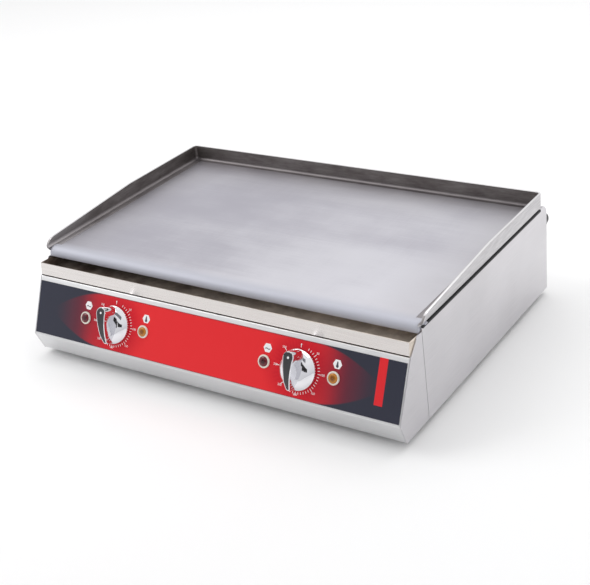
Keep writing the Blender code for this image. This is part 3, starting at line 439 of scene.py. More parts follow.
bpy.ops.mesh.extrude_region_shrink_fatten(TRANSFORM_OT_shrink_fatten={"value": -SEAT * 0.6})
outside(inlay)
smooth(inlay, 40)
facts(grip)
facts(inlay)

# %% [markdown]
# The disc under the wedge is a filled circle drawn up ring by ring into a shallow dome, as a turned
# part would be. A union joins the wedge to it. Each side of the griddle gets its own copy, carried to
# its axis on the panel. The left knob stands a few degrees off upright, as such a knob often does.

# %% The two knobs
KNOB_RADIUS = 31 * MM
KNOB_TURN = {"left": math.radians(8), "right": 0.0}
rise = DISC_TOP - RIM
disc_rings = [
    (30.4 * MM, 1.7 * MM), (KNOB_RADIUS, 2.3 * MM), (KNOB_RADIUS, RIM - 0.5 * MM),
    (30.7 * MM, RIM + 0.1 * MM),
    (29.8 * MM, RIM + 0.10 * rise), (29.1 * MM, RIM + 0.22 * rise), (27.2 * MM, RIM + 0.45 * rise),
    (24.8 * MM, RIM + 0.66 * rise), (21.7 * MM, RIM + 0.85 * rise), (18.6 * MM, RIM + 0.95 * rise),
    (12.0 * MM, RIM + 0.99 * rise), (1.0 * MM, DISC_TOP),
]
knob = raised("knob", disc_rings, 128)
cut(knob, grip, "UNION")
outside(knob)
smooth(knob, 28)
knobs, inlays = {}, {}
for side in ("left", "right"):
    place = on_panel(knob_axes[side].x, 0, 0, KNOB_TURN[side])
    knobs[side] = carry(copy_of(knob, f"knob_{side}_grip"), place)
    inlays[side] = carry(copy_of(inlay, f"knob_{side}_pointer"), place)
    for piece, node, slot in ((knobs[side], f"knob_{side}", "chrome"),
                              (inlays[side], f"knob_inlay_{side}", "black_inlay")):
        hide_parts(node)
        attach(piece, f"knob_{side}")
        facts(piece)
for model in (knob, inlay):
    bpy.data.objects.remove(model)

# %% [markdown]
# Each zone has two pilot lamps: a pale ring round a lens, dark red for power and amber for heating.
# The ring is hollowed by drawing its inner rings back down. The lens is a low dome with a small step
# round it, where the light inside is brightest. Both are made once and copied four times.

# %% The pilot lamps
ring = raised("lamp_ring", [
    (9.4 * MM, film_out), (9.7 * MM, 1.2 * MM), (9.7 * MM, 2.5 * MM), (9.4 * MM, 3.0 * MM),
    (8.9 * MM, 3.2 * MM), (8.3 * MM, 3.1 * MM), (8.0 * MM, 2.8 * MM), (8.0 * MM, 1.8 * MM),
    (1 * MM, 1.8 * MM)], 64)
lens = raised("lamp_lens", [
    (7.6 * MM, 2.0 * MM), (7.6 * MM, 3.0 * MM), (7.4 * MM, 3.3 * MM), (7.0 * MM, 3.5 * MM),
    (6.6 * MM, 3.55 * MM), (6.3 * MM, 4.0 * MM), (5.4 * MM, 4.3 * MM), (3.8 * MM, 4.6 * MM),
    (1.8 * MM, 4.8 * MM), (0.4 * MM, 4.85 * MM)], 64)
for model in (ring, lens):
    smooth(model, 50)
lenses = {}
rings = []
for side in ("left", "right"):
    for colour in ("red", "amber"):
        low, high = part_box(f"pilot_body_{side}_{colour}")
        place = on_panel((low[0] + high[0]) / 2, 0)
        made = carry(copy_of(ring, f"lamp_ring_{side}_{colour}"), place)
        glass = carry(copy_of(lens, f"lamp_lens_{side}_{colour}"), place)
        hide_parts(f"pilot_lens_{side}_{colour}")
        for piece in (made, glass):
            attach(piece, "griddle")
        rings.append(made)
        lenses[side, colour] = glass
for model in (ring, lens):
    bpy.data.objects.remove(model)
print("lamps", sorted("_".join(key) for key in lenses))

# %% [markdown]
# The scale round each knob is printed on the film in white: close ticks on the side that the cook
# turns through, and a number at every eighth of a turn. Over each lamp stands a small six-sided
# pictogram, a wave for power and a thermometer for heat. The print is thin mesh laid on the film, so
# that it stays sharp at any distance.

# %% The printed scales
INK = 0.06 * MM
TICK_IN, TICK_OUT, NUMBER_AT = 33.2 * MM, 36.8 * MM, 37.2 * MM
TICK_WIDE = 0.9 * MM
ICON_UP, ICON_ASIDE, ICON_RADIUS = 21.1 * MM, 3.4 * MM, 7.6 * MM
NUMBER_SIZE = 4.8 * MM


def inked(piece, place):
    """A flat shape given the ink's thickness and carried to the panel."""
    edit(piece)
    bpy.ops.mesh.extrude_region_move(TRANSFORM_OT_translate={"value": (0, 0, INK)})
    outside(piece)
    return carry(piece, place)


def tick(angle, longer):
    bench()
    reach = TICK_OUT - TICK_IN + (1.6 * MM if longer else 0)
    bpy.ops.mesh.primitive_plane_add(size=1, location=(0, TICK_IN + reach / 2, 0))
    bpy.context.object.scale = (TICK_WIDE, reach, 1)
    piece = named("tick")
    return inked(piece, Matrix.Rotation(-angle, 4, "Z"))


def lettering(text, size, where):
    """A number or sign as a flat mesh, centred on a place."""
    bench()
    bpy.ops.object.text_add()
    made = bpy.context.object
    made.data.body, made.data.size = text, size
    made.data.align_x, made.data.align_y = "CENTER", "CENTER"
    made.data.resolution_u = 3
    bpy.ops.object.convert(target="MESH")
    return carry(bpy.context.object, Matrix.Translation((*where, 0)))


def icon(sign):
    """A white hexagon, and the dark sign that stands on it."""
    bench()
    bpy.ops.mesh.primitive_circle_add(vertices=6, radius=ICON_RADIUS, fill_type="NGON",
                                      rotation=(0, 0, math.pi / 6))
    tile = inked(named("tile"), Matrix())
    if sign == "wave":
        mark = lettering("~", 17 * MM, (0, -0.6 * MM))
        mark = inked(mark, Matrix.Translation((0, 0, INK)))
        return tile, mark
    bench()
    bpy.ops.mesh.primitive_circle_add(vertices=24, radius=2.3 * MM, fill_type="NGON",
                                      location=(0, -2.8 * MM, 0))
    mark = named("mark")
    edit(mark)
    pick(mark, "verts", lambda v: v.co.y > -1.1 * MM)
    bpy.ops.transform.resize(value=(0.75, 0.1, 1), center_override=(0, 4.6 * MM, 0))
    bench()
    return tile, inked(mark, Matrix.Translation((0, 0, INK)))


def joined(name, pieces):
    hold(*pieces)
    bpy.ops.object.join()
    piece = bpy.context.object
    piece.name = piece.data.name = name
    return piece


white_print, dark_print = [], []
for side in ("left", "right"):
    marks = [tick(math.radians(degrees), degrees % 45 == 0)
             for degrees in [22.5 + 7.5 * step for step in range(25)] + [0, 225, 270, 315]]
    for step in range(8):
        angle = math.radians(45 * step)
        reach = NUMBER_AT + (4.6 * MM if step in (1, 2, 3) else 2.9 * MM)
        spot = (reach * math.sin(angle), reach * math.cos(angle) * (0.93 if step in (0, 4) else 1))
        marks.append(inked(lettering(str(50 * step), NUMBER_SIZE, spot), Matrix()))
    place = on_panel(knob_axes[side].x, 0, film_out + 0.01 * MM)
    white_print += [carry(mark, place) for mark in marks]
    for colour, sign in (("red", "wave"), ("amber", "heat")):
        low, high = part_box(f"pilot_body_{side}_{colour}")
        place = on_panel((low[0] + high[0]) / 2 + ICON_ASIDE, ICON_UP, film_out + 0.01 * MM)
        tile, mark = icon(sign)
        white_print.append(carry(tile, place))
        dark_print.append(carry(mark, place))
scales = joined("printed_scales", white_print)
signs = joined("printed_signs", dark_print)
for piece in (scales, signs):
    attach(piece, "griddle")
    facts(piece)

# %% [markdown]
# The supply enters through a gland in the rear panel: a flange with grip ribs and a rounded dome nut
# with a hole for the cable. The ribs are every other face of the nut's side, drawn out a little.

# %% The cable gland
gland_low, gland_high = (Vector(corner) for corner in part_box("gland_dome_nut"))
gland_radius = (gland_high.x - gland_low.x) / 2
reach = gland_high.y - gland_low.y
dome = raised("gland_nut", [
    (0.93 * gland_radius, 0), (0.96 * gland_radius, 0.4 * MM), (0.96 * gland_radius, reach * 0.50),
    (0.93 * gland_radius, reach * 0.60), (0.90 * gland_radius, reach * 0.74),
    (0.84 * gland_radius, reach * 0.88),
    (0.74 * gland_radius, reach * 0.96), (0.60 * gland_radius, reach), (0.46 * gland_radius, reach),
    (0.43 * gland_radius, reach * 0.97), (0.43 * gland_radius, reach * 0.45)], 48)
edit(dome)
pick(dome, "faces", lambda f: f.normal.z < 0.1 and 0.5 * MM < f.calc_center_median().z < reach * 0.5
     and math.hypot(*f.calc_center_median().xy) > 0.9 * gland_radius
     and round(math.degrees(math.atan2(*f.calc_center_median().xy)) / 7.5) % 4 in (0, 1))
bpy.ops.mesh.extrude_region_shrink_fatten(TRANSFORM_OT_shrink_fatten={"value": 0.04 * gland_radius})
outside(dome)
smooth(dome, 40)
turned = Matrix.Rotation(-math.pi / 2, 4, "X")
middle_x, middle_z = (gland_low.x + gland_high.x) / 2, (gland_low.z + gland_high.z) / 2
carry(dome, Matrix.Translation((middle_x, gland_low.y, middle_z)) @ turned)
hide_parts("gland_dome_nut")
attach(dome, "griddle")
facts(dome)

# %% [markdown]
# A finish is a small network of nodes. To keep the arithmetic readable, a value that varies over a
# surface is wrapped in a class that understands plus, minus, times and comparison, and every other
# node comes from one method. Positions are the object's own, in metres, so a finish can follow the
# panel or the plate.

# %% Helpers for finishes
class Value:
    """A number that varies over a surface."""

    def __init__(self, paint, socket):
        self.paint, self.socket = paint, socket

    def maths(self, operation, *others):
        return self.paint.node("ShaderNodeMath", {"operation": operation}, dict(enumerate((self, *others))))

    def __add__(self, other): return self.maths("ADD", other)
    def __radd__(self, other): return self.maths("ADD", other)
    def __sub__(self, other): return self.maths("SUBTRACT", other)
    def __rsub__(self, other): return self.paint.number(other).maths("SUBTRACT", self)
    def __mul__(self, other): return self.maths("MULTIPLY", other)
    def __rmul__(self, other): return self.maths("MULTIPLY", other)
    def __truediv__(self, other): return self.maths("DIVIDE", other)
    def __pow__(self, other): return self.maths("POWER", other)
    def __gt__(self, other): return self.maths("GREATER_THAN", other)
    def __lt__(self, other): return self.maths("LESS_THAN", other)
    def __abs__(self): return self.maths("ABSOLUTE")
    def low(self, other): return self.maths("MINIMUM", other)
    def high(self, other): return self.maths("MAXIMUM", other)

    def step(self, start, end):
        """0 at start, 1 at end, eased between them."""
        return self.paint.node("ShaderNodeMapRange", {"interpolation_type": "SMOOTHSTEP"},
                               {0: self, 1: start, 2: end})


class Paint:
    """A material and the nodes that feed its Principled shader."""

    def __init__(self, name, **fixed):
        self.material = bpy.data.materials.new(name)
        self.material.use_nodes = True
        self.tree = self.material.node_tree
        self.shader = self.tree.nodes["Principled BSDF"]
        for socket, value in fixed.items():
            self.shader.inputs[socket.replace("_", " ")].default_value = value
        self.place = self.node("ShaderNodeTexCoord", {}, {}, "Object")

    def node(self, kind, settings, inputs, output=0):
        made = self.tree.nodes.new(kind)
        for name, value in settings.items():
            setattr(made, name, value)
        for name, value in inputs.items():
            if isinstance(value, Value):
                self.tree.links.new(value.socket, made.inputs[name])
            else:
                made.inputs[name].default_value = value
        return Value(self, made.outputs[output])

    def number(self, value):
        return self.node("ShaderNodeMath", {"operation": "ADD"}, {0: value, 1: 0.0})

    def mix(self, factor, one, other):
        one, other = ((*c, 1.0) if isinstance(c, tuple) and len(c) == 3 else c for c in (one, other))
        return self.node("ShaderNodeMix", {"data_type": "RGBA"}, {0: factor, 6: one, 7: other}, 2)

    def along(self, direction, start=(0, 0, 0)):
        """How far a point lies along a direction from a start."""
        offset = -sum(a * b for a, b in zip(direction, start))
        dot = self.node("ShaderNodeVectorMath", {"operation": "DOT_PRODUCT"},
                        {0: self.place, 1: tuple(direction)}, "Value")
        return dot + offset

    def noise(self, scale, detail=3.0, stretch=(1, 1, 1), rough=0.5):
        where = self.node("ShaderNodeMapping", {}, {"Vector": self.place, "Scale": stretch})
        return self.node("ShaderNodeTexNoise", {}, {"Vector": where, "Scale": scale, "Detail": detail,
                                                     "Roughness": rough})

    def feed(self, **values):
        for name, value in values.items():
            self.tree.links.new(value.socket, self.shader.inputs[name.replace("_", " ")])
        return self

    def bump(self, height, strength, distance):
        inputs = {"Height": height, "Strength": strength, "Distance": distance}
        normal = self.node("ShaderNodeBump", {}, inputs, "Normal")
        return self.feed(Normal=normal)


def screen(red, green, blue):
    """A colour as seen on a screen, 0 to 255, as the linear numbers that a shader takes."""
    return tuple(c / 12.92 if c <= 0.04045 else ((c + 0.055) / 1.055) ** 2.4
                 for c in (red / 255, green / 255, blue / 255))


def wear(*pieces, finish):
    for piece in pieces:
        if isinstance(piece, str):
            piece = frame["nodes"][piece]
        piece.data.materials.clear()
        piece.data.materials.append(finish.material)


print("white on screen is", screen(255, 255, 255))

# %% [markdown]
# The body is folded from satin stainless sheet. Such a sheet has fine parallel scratches from its
# grinding belt, and broad cloudy differences in how bright it is. The scratches are noise stretched
# far along one direction. They run across the front and the back, and front to back on the cheeks.
# The control panel's sheet is painted brighter above the knobs' middle, a painted highlight along its upper
# edge, and duller below it and on the chamfer under the film, as painted shade.

# %% Stainless sheet
def stainless(name, colour, roughness, streak, scratch=0.06):
    """Also keeps its colour as tone, for a finish that mixes something over it."""
    paint = Paint(name, Metallic=1.0)
    fine = paint.noise(1.0, 4.0, streak, 0.6)
    cloud = paint.noise(7.0, 2.0)
    smudge = paint.noise(38.0, 4.0)
    bright, dull = tuple(min(1, c * 1.06) for c in colour), tuple(c * 0.90 for c in colour)
    paint.tone = paint.mix((fine * 0.55 + cloud * 0.45).step(0.30, 0.70), dull, bright)
    paint.feed(Base_Color=paint.tone)
    paint.feed(Roughness=roughness + (fine - 0.5) * 0.10 + (smudge.step(0.5, 0.75)) * 0.05)
    return paint.bump(fine, scratch, 0.15 * MM)


ACROSS, LENGTHWAYS = (14, 1500, 1500), (1500, 14, 1500)
steel_front = stainless("satin_sheet_front", screen(222, 221, 222), 0.30, ACROSS)
steel_side = stainless("satin_sheet_side", screen(214, 212, 215), 0.34, LENGTHWAYS)
steel_panel = stainless("satin_sheet_panel", screen(250, 250, 250), 0.42, ACROSS)
wear("rear_panel", "base_pan", finish=steel_front)
# Painted highlight and shade: the sheet is lightest above the knobs' middle and painted darker below it.
above = steel_panel.along(up_slope, knob_axes["left"]).step(0, 10 * MM)
steel_panel.feed(Base_Color=steel_panel.mix(above * 0.6 + 0.4, screen(200, 200, 202), steel_panel.tone))
wear("control_panel", finish=steel_panel)
wear("side_panel_left", "side_panel_right", "end_cap_left", "end_cap_right", finish=steel_side)
print("sheet finished:", steel_front.material.name, steel_side.material.name)

# %% [markdown]
# The tray's front wall is polished along its length, so what it mirrors is drawn out upwards, and its
# lowest edge is painted near black, a painted shade of the gap under it. Its inside is dulled by baked
# grease and is painted darker towards the left, as painted shade. The side that faces out is told
# from the rest by the way its surface points and by how far forward it lies.

# %% The grease tray
PAINTED_SHADE_EDGE = 1.7 * MM
tray_low = Vector(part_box("grease_tray")[0])
paint = Paint("tray_steel", Anisotropic=0.85, Anisotropic_Rotation=0.25)
facing = paint.node("ShaderNodeTexCoord", {}, {}, "Normal")
forward = paint.node("ShaderNodeSeparateXYZ", {}, {0: facing}, "Y")
outer = (forward < -0.5) * (paint.along((0, 1, 0), tray_low) < 6 * MM)
high_up = paint.along((0, 0, 1), tray_low)
# Painted shade: the inside is painted darker towards the left and lighter towards the right, mixed with the
# grease's own mottle.
painted_light_rightward = paint.along(across).step(-0.34, 0.34)
grime = paint.noise(26.0, 5.0, (1, 1, 2.5), 0.65)
streaks = paint.noise(1.0, 3.0, ACROSS)
lightness = grime.step(0.32, 0.68) * 0.35 + painted_light_rightward * 0.65
grease_and_shade = paint.mix(lightness, screen(92, 76, 66), screen(236, 224, 210))
polish_and_shade = paint.mix(streaks.step(0.3, 0.7), screen(212, 207, 204), screen(222, 218, 215))
# Painted shade: the lowest strip of the front wall is painted near black for the shade in the gap under it.
polish_and_shade = paint.mix(high_up < PAINTED_SHADE_EDGE, polish_and_shade, screen(40, 32, 30))
paint.feed(Base_Color=paint.mix(outer, grease_and_shade, polish_and_shade), Metallic=outer)
paint.feed(Roughness=(1 - outer) * (0.42 + grime * 0.25) + outer * (0.16 + streaks * 0.06))
paint.bump(grime * (1 - outer) + streaks * 0.1, 0.10, 0.3 * MM)
wear("grease_tray", finish=paint)
print("tray finished from", tuple(round(v, 3) for v in tray_low))

# %% [markdown]
# The plate is ground in one direction and has been heated once or twice: it is cooler and bluer than
# the body, with long soft bands and finer scratches that cross them. Towards the guards it is painted
# darker in patches, a little warmer, as painted shade and reflection of the guards, and its right front
# is painted lighter, a painted sheen. Its rolled front edge is rubbed duller by the scraper, and painted
# darker there as painted shade that softens the highlight on the roll.

# %% The ground plate
paint = Paint("ground_plate")
grind = paint.noise(1.0, 5.0, (9, 420, 60), 0.62)
cross = paint.noise(1.0, 3.0, (520, 12, 60), 0.6)
bands = paint.noise(1.0, 2.0, (1.6, 9, 1), 0.5)
stains = paint.noise(5.5, 5.0, (1, 1.5, 1), 0.62)
# Painted shade and reflection of the guards: the plate is painted darker in patches towards its sides and
# back.
edge = (abs(paint.along(across)) - 0.24).high(0) * 6 + (paint.along((0, 1, 0)) - 0.10).high(0) * 5
front = paint.along((0, 1, 0), (0, plate_low.y, 0)).step(34 * MM, 6 * MM)
tone = grind * 0.16 + cross * 0.07 + bands * 0.40 + stains * 0.37
# Painted sheen: the plate's tone is painted lighter towards its right front.
painted_light_rightward = paint.along((0.8, -0.6, 0)).step(-0.25, 0.42)
tone = (tone + painted_light_rightward * 0.18 - 0.06).step(0.36, 0.66)
metal = paint.mix(tone, screen(186, 184, 193), screen(212, 211, 217))
metal = paint.mix((edge * stains).low(0.55), metal, screen(158, 154, 156))
# Painted shade: the rolled front edge is painted darker to soften the highlight on the roll.
metal = paint.mix(front, metal, screen(186, 187, 196))
paint.feed(Base_Color=metal)
paint.feed(Metallic=1 - front * 0.45)
paint.feed(Roughness=0.42 + (grind - 0.5) * 0.12 + (stains - 0.5) * 0.14 + front * 0.20)
paint.bump(grind * 0.6 + cross * 0.4, 0.07, 0.2 * MM)
wear(plate, finish=paint)
print("plate finished")

# %% [markdown]
# The guards are cut from the same steel and are not ground inside. Their inner faces are painted a
# dark warm grey, heat tint deepened by painted shade, lighter towards the front, and with a painted
# highlight along the foot's bend. Their outer faces show bare, unmarked steel, and their cut top edge
# is painted bright, a painted highlight.

# %% The splash guards' steel
paint = Paint("guard_steel", Metallic=1.0)
facing = paint.node("ShaderNodeTexCoord", {}, {}, "Normal")
nx, ny, nz = (paint.node("ShaderNodeSeparateXYZ", {}, {0: facing}, axis) for axis in "XYZ")
height = paint.along((0, 0, 1), (0, 0, plate_high.z))
inward = ((nx * paint.along(across) * -1).high(ny * paint.along((0, 1, 0)) * -1)).step(0.04, 0.12)
inward = inward.high((nz > 0.3) * (height < 10 * MM))
scale_marks = paint.noise(18.0, 5.0, (1, 1, 3), 0.65)
drag = paint.noise(1.0, 3.0, (40, 40, 900))
foot = height.step(7 * MM, 1 * MM)
nearer = paint.along((0, 1, 0), (0, side_low.y, 0)).step(0.16, 0.0)
# Painted shade with mottled heat tint: inner faces dark warm grey, lighter towards the front.
heat_tint_and_shade = paint.mix((scale_marks * 0.7 + drag * 0.3).step(0.3, 0.7), screen(96, 90, 88), screen(132, 127, 125))
heat_tint_and_shade = paint.mix(nearer * 0.8, heat_tint_and_shade, screen(158, 155, 155))
# Painted highlight along the bend of the foot.
heat_tint_and_shade = paint.mix(foot * 0.35, heat_tint_and_shade, screen(140, 136, 142))
clean_and_highlight = paint.mix(drag.step(0.3, 0.7), screen(186, 184, 186), screen(208, 206, 208))
# Painted highlight: faces pointing up along the guards' top are painted near white.
clean_and_highlight = paint.mix((nz > 0.7) * (height > 12 * MM), clean_and_highlight, screen(232, 231, 232))
paint.feed(Base_Color=paint.mix(inward, clean_and_highlight, heat_tint_and_shade))
paint.feed(Roughness=0.34 + inward * 0.16 + (scale_marks - 0.5) * 0.2)
paint.bump(drag * 0.5 + scale_marks * inward, 0.10, 0.2 * MM)
wear(guard, finish=paint)
print("guards finished")

# %% [markdown]
# The printed film has a red field like a long lens, with slate ends. The lens narrows along a curve
# towards each end and fades through maroon into the slate. Round each knob the red is painted a deeper
# crimson, a painted shade of the knob, with faint rays. A red stripe crosses the slate at the right.
# All of it is worked out from two lengths: how far a point lies across the panel, and how far up its slope.

# %% The printed film
FILM_HALF, FILM_MIDDLE = 43.9 * MM, 1.0 * MM
LENS_FROM, LENS_TO = 0.205, 0.293
FADE_FROM, FADE_LENGTH = 0.182, 0.130
STRIPE = (303.2 * MM, 316.8 * MM)
RED, CRIMSON = screen(230, 36, 42), screen(206, 8, 32)
MAROON, SLATE = screen(116, 26, 46), screen(46, 48, 62)

paint = Paint("printed_film", IOR=1.38)
x = paint.along(across)
up = paint.along(up_slope, knob_axes["left"]) - FILM_MIDDLE
outward = ((abs(x) - LENS_FROM) / (LENS_TO - LENS_FROM)).high(0).low(1.15)
lens_height = 1 - 0.64 * outward ** 1.79
inside = (lens_height - abs(up) / FILM_HALF).step(-0.03, 0.05)
fade = ((abs(x) - FADE_FROM) / FADE_LENGTH).high(0).low(1)
red = RED
for side in ("left", "right"):
    dx = x - knob_axes[side].x
    dy = up + FILM_MIDDLE
    near = (dx * dx + dy * dy) ** 0.5
    turn = paint.node("ShaderNodeMath", {"operation": "ARCTAN2"}, {0: dx, 1: dy})
    rays = (turn * 46).maths("SINE") * 0.5 + 0.5
    # Painted shade of each knob: the red is painted a deeper crimson round it.
    knob_shade = near.step(70 * MM, 34 * MM) * (0.80 + 0.20 * rays * near.step(60 * MM, 36 * MM))
    red = paint.mix(knob_shade, red, CRIMSON)
red = paint.mix(fade.step(0.0, 0.62), red, MAROON)
field = paint.mix(inside * (1 - fade.step(0.30, 1.0)), SLATE, red)
stripe = (x > STRIPE[0]) * (x < STRIPE[1]) * (up > -0.56 * FILM_HALF)
grain = paint.noise(900.0, 2.0)
field = paint.mix(stripe, field, screen(224, 36, 44))
paint.feed(Base_Color=field, Roughness=0.36 + (grain - 0.5) * 0.10)
paint.bump(grain, 0.05, 0.05 * MM)
wear("graphic_overlay", finish=paint)

white_ink = Paint("white_ink")
speck = white_ink.noise(1600.0, 2.0)
white_ink.feed(Base_Color=white_ink.mix(speck, screen(250, 250, 250), screen(236, 234, 236)),
               Roughness=0.45 + speck * 0.1)
wear(scales, finish=white_ink)
dark_ink = Paint("dark_ink")
speck = dark_ink.noise(1600.0, 2.0)
dark_ink.feed(Base_Color=dark_ink.mix(speck, screen(52, 52, 62), screen(70, 70, 82)),
              Roughness=0.45 + speck * 0.1)
wear(signs, finish=dark_ink)
print("film finished, lens from", LENS_FROM, "to", LENS_TO)

# %% [markdown]
# The knobs are chrome plate over moulded plastic, almost a mirror, with the faintest waviness. Their
# inlay is satin black with a white dot that says where the knob points. The dot is placed on each
# knob's own turned directions, so it follows the knob's tilt.

# %% Knob finishes
DOT_UP, DOT_RADIUS = 20.3 * MM, 1.8 * MM
chrome = Paint("chrome", Metallic=1.0)
ripple = chrome.noise(60.0, 2.0)
haze = chrome.noise(240.0, 3.0)
chrome.feed(Base_Color=chrome.mix(ripple, screen(224, 224, 228), screen(238, 238, 242)),
            Roughness=0.035 + haze * 0.05)
chrome.bump(ripple, 0.03, 0.4 * MM)
for side in ("left", "right"):
    wear(knobs[side], finish=chrome)
    turned = on_panel(knob_axes[side].x, 0, 0, KNOB_TURN[side])
    sideways, upwards = turned.col[0].xyz, turned.col[1].xyz
    black = Paint(f"black_inlay_{side}", Coat_Weight=0.2)
    dx, dy = black.along(sideways, turned.translation), black.along(upwards, turned.translation) - DOT_UP
    dot = ((dx * dx + dy * dy) ** 0.5).step(DOT_RADIUS + 0.1 * MM, DOT_RADIUS - 0.1 * MM)
    grain = black.noise(700.0, 2.0)
    tone = black.mix(grain, screen(32, 32, 36), screen(50, 50, 54))
    black.feed(Base_Color=black.mix(dot, tone, screen(246, 246, 246)), Roughness=0.38 + grain * 0.12)
    black.bump(grain, 0.08, 0.05 * MM)
    wear(inlays[side], finish=black)
print("knobs finished")

# %% [markdown]
# The lamp rings are white plastic. A lens is coloured plastic lit only by the room, and its colour is
# painted dark in the middle and light towards the rim, as painted light caught in the lens: the red one
# looks almost black in its middle, the amber one is brighter round its rim. Painted rings of light and
# dark round the lens's own centre stand for glints from the facet pattern moulded inside it.

# %% Lamp finishes
cream = Paint("lamp_ring")
mottle = cream.noise(300.0, 3.0)
cream.feed(Base_Color=cream.mix(mottle, screen(255, 254, 250), screen(250, 247, 242)),
           Roughness=0.32 + mottle * 0.1)
wear(*rings, finish=cream)
GLASS = {"red": (screen(40, 2, 12), screen(112, 12, 28)),
         "amber": (screen(104, 56, 4), screen(198, 126, 18))}
for (side, colour), glass in lenses.items():
    corners = [glass.matrix_world @ Vector(corner) for corner in glass.bound_box]
    centre = sum(corners, Vector()) / 8
    dark, light = GLASS[colour]
    paint = Paint(f"{colour}_lens_{side}", Coat_Weight=0.35, Coat_Roughness=0.06, IOR=1.49)
    dx, dy = paint.along(across, centre), paint.along(up_slope, centre)
    near = (dx * dx + dy * dy) ** 0.5
    facet_glints = (near * 2600).maths("SINE") * 0.5 + 0.5
    mottle = paint.noise(420.0, 2.0)
    # Painted light: darker in the middle, lighter towards the rim, with painted glint rings and a real
    # mottle.
    shade = (near.step(2.2 * MM, 6.4 * MM) * 0.75 + facet_glints * 0.2 + mottle * 0.15).low(1)
    paint.feed(Base_Color=paint.mix(shade, dark, light), Roughness=0.14 + mottle * 0.08)
    wear(glass, finish=paint)
print("lamps finished")

# %% [markdown]
# What is inside or underneath still has its own stuff: zinc-coated brackets with their leafy pattern,
# bakelite, ceramic, copper, rubber. Each of these finishes is a pair of tones mixed by noise at that
# stuff's own scale, and a roughness and bump that follow the same noise.

# %% Finishes inside and below
def two_tone(name, dark, light, scale, roughness, metallic=0.0, stretch=(1, 1, 1), relief=0.1, cells=False):
    paint = Paint(name, Metallic=metallic)
    pattern = paint.noise(scale, 4.0, stretch, 0.6)
    if cells:
        where = paint.node("ShaderNodeMapping", {}, {"Vector": paint.place, "Scale": stretch})
        spangle = paint.node("ShaderNodeTexVoronoi", {}, {"Vector": where, "Scale": scale})
        pattern = pattern * 0.35 + spangle * 0.65
    paint.feed(Base_Color=paint.mix(pattern.step(0.2, 0.8), screen(*dark), screen(*light)))
    paint.feed(Roughness=roughness + (pattern - 0.5) * 0.2)
    return paint.bump(pattern, relief, 0.2 * MM)


zinc = two_tone("galvanised_sheet", (150, 156, 160), (196, 200, 204), 70, 0.42, 1.0, cells=True)
bakelite = two_tone("bakelite", (30, 24, 22), (48, 38, 34), 160, 0.45)
ceramic = two_tone("terminal_ceramic", (214, 208, 196), (236, 231, 220), 120, 0.5)
copper = two_tone("copper", (168, 96, 62), (214, 140, 104), 60, 0.3, 1.0, (1, 1, 8))
tube = two_tone("element_tube", (54, 52, 48), (92, 88, 80), 90, 0.5, 1.0)
wool = two_tone("ceramic_wool", (206, 200, 184), (242, 238, 228), 45, 0.95, 0.0, (1, 1, 4), 0.6)
sleeve = two_tone("loom_sleeve", (24, 24, 26), (48, 48, 50), 400, 0.7, 0.0, (1, 4, 1), 0.5)
nylon = two_tone("gland_plastic", (20, 20, 22), (38, 38, 42), 220, 0.42)
rubber = two_tone("foot_rubber", (28, 28, 28), (52, 51, 50), 300, 0.85, 0.0, (1, 1, 1), 0.4)
shaft = two_tone("plated_shaft", (170, 160, 130), (206, 198, 170), 200, 0.3, 1.0)

both = ("left", "right")
wear("plate_rail_front", "plate_rail_rear", "control_box_wall", "heat_shield",
     *(f"{name}_{side}" for name in ("tray_runner", "press_plate") for side in both),
     *(f"foot_screw_{end}_{side}" for end in ("front", "rear") for side in both), finish=zinc)
wear("safety_thermostat", *(f"thermostat_{side}" for side in both), finish=bakelite)
wear("terminal_block", *(f"pilot_body_{side}_{colour}" for side in both for colour in ("red", "amber")),
     finish=ceramic)
wear(*(f"{name}_{side}" for name in ("sensor_bulb", "capillary") for side in both), finish=copper)
wear(*(f"heating_element_{side}" for side in both), finish=tube)
wear("insulation_blanket", finish=wool)
wear("supply_loom", *beads, finish=sleeve)
wear("gland_body", "gland_lock_nut", dome, finish=nylon)
wear(*(f"foot_{end}_{side}" for end in ("front", "rear") for side in both), finish=rubber)
wear(*(f"thermostat_shaft_{side}" for side in both), finish=shaft)
print("all nodes finished")

# %% [markdown]
# Bare metal shows whatever stands round it, so the room matters as much as the finish. Here it is a
# plain pale floor in soft white light from all round, brighter overhead, with two large soft lamps. An
# upright dark card, a lying one and a grey one high in front give the chrome something to draw its
# edges with.

# %% Floor, light and camera
def card(name, size, place, towards, colour):
    """A flat card that stands in the room and faces a point."""
    bench()
    bpy.ops.mesh.primitive_plane_add(size=1)
    made = bpy.context.object
    made.name, made.scale = name, (*size, 1)
    made.location = place
    made.rotation_euler = (Vector(towards) - Vector(place)).to_track_quat("Z", "Y").to_euler()
    paint = Paint(name, Roughness=0.9)
    cloud = paint.noise(2.0, 2.0)
    paint.feed(Base_Color=paint.mix(cloud, colour, tuple(c * 0.97 for c in colour)))
    wear(made, finish=paint)
    return made


def lamp(name, size, place, towards, power):
    light = bpy.data.lights.new(name, "AREA")
    light.shape, light.size, light.size_y, light.energy = "RECTANGLE", *size, power
    made = bpy.data.objects.new(name, light)
    bpy.context.scene.collection.objects.link(made)
    made.location = place
    made.rotation_euler = (Vector(towards) - Vector(place)).to_track_quat("-Z", "Y").to_euler()


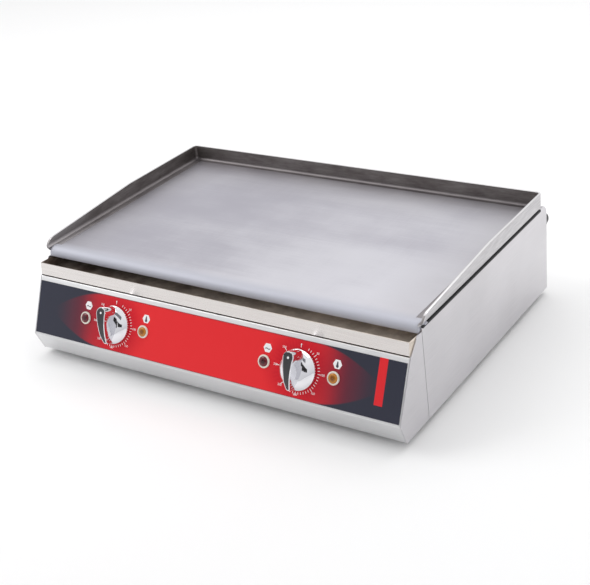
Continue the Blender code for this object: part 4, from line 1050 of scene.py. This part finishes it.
BLACK, GREY, PALE = (0.02, 0.02, 0.02), (0.22, 0.22, 0.24), (0.93, 0.93, 0.93)
between_knobs = (0, knob_axes["right"].y, knob_axes["right"].z)
card("floor", (24, 24), (0, 0, -0.5 * MM), (0, 0, 5), PALE)
card("dark_card", (0.22, 0.5), (-0.75, -1.45, 0.62), knob_axes["right"], BLACK)
card("dark_bar", (1.5, 0.36), (0.10, -1.75, 0.70), between_knobs, BLACK)
card("grey_card", (1.4, 0.7), (-0.1, -1.1, 1.6), between_knobs, GREY)
lamp("soft_left", (1.8, 1.8), (-1.6, -0.9, 2.2), (0, 0, 0.1), 24)
lamp("soft_top", (2.4, 1.2), (0.2, 0.9, 2.4), (0, 0, 0.1), 15)

room = bpy.data.worlds.new("room")
bpy.context.scene.world = room
room.use_nodes = True
nodes, links = room.node_tree.nodes, room.node_tree.links
where = nodes.new("ShaderNodeTexCoord")
height = nodes.new("ShaderNodeSeparateXYZ")
ramp = nodes.new("ShaderNodeValToRGB")
ramp.color_ramp.elements[0].position, ramp.color_ramp.elements[0].color = 0.0, (0.72, 0.72, 0.74, 1)
ramp.color_ramp.elements[1].position, ramp.color_ramp.elements[1].color = 0.75, (1.0, 1.0, 1.0, 1)
links.new(where.outputs["Generated"], height.inputs[0])
links.new(height.outputs["Z"], ramp.inputs[0])
links.new(ramp.outputs[0], nodes["Background"].inputs["Color"])
nodes["Background"].inputs["Strength"].default_value = 0.95

CAMERA_PLACE, CAMERA_TURN, LENS_MM = (1.0587, -1.4778, 0.9881), (1.0945, 0.1007, 0.5695), 73.3
camera = bpy.data.cameras.new("camera")
camera.lens, camera.sensor_width = LENS_MM, 36.0
stand = bpy.data.objects.new("camera", camera)
bpy.context.scene.collection.objects.link(stand)
stand.location, stand.rotation_euler = CAMERA_PLACE, CAMERA_TURN
bpy.context.scene.camera = stand
bpy.context.scene.view_settings.view_transform = "Standard"
print("camera", tuple(stand.location))

# %% Object mode, nothing selected
bench()
bpy.context.view_layer.update()
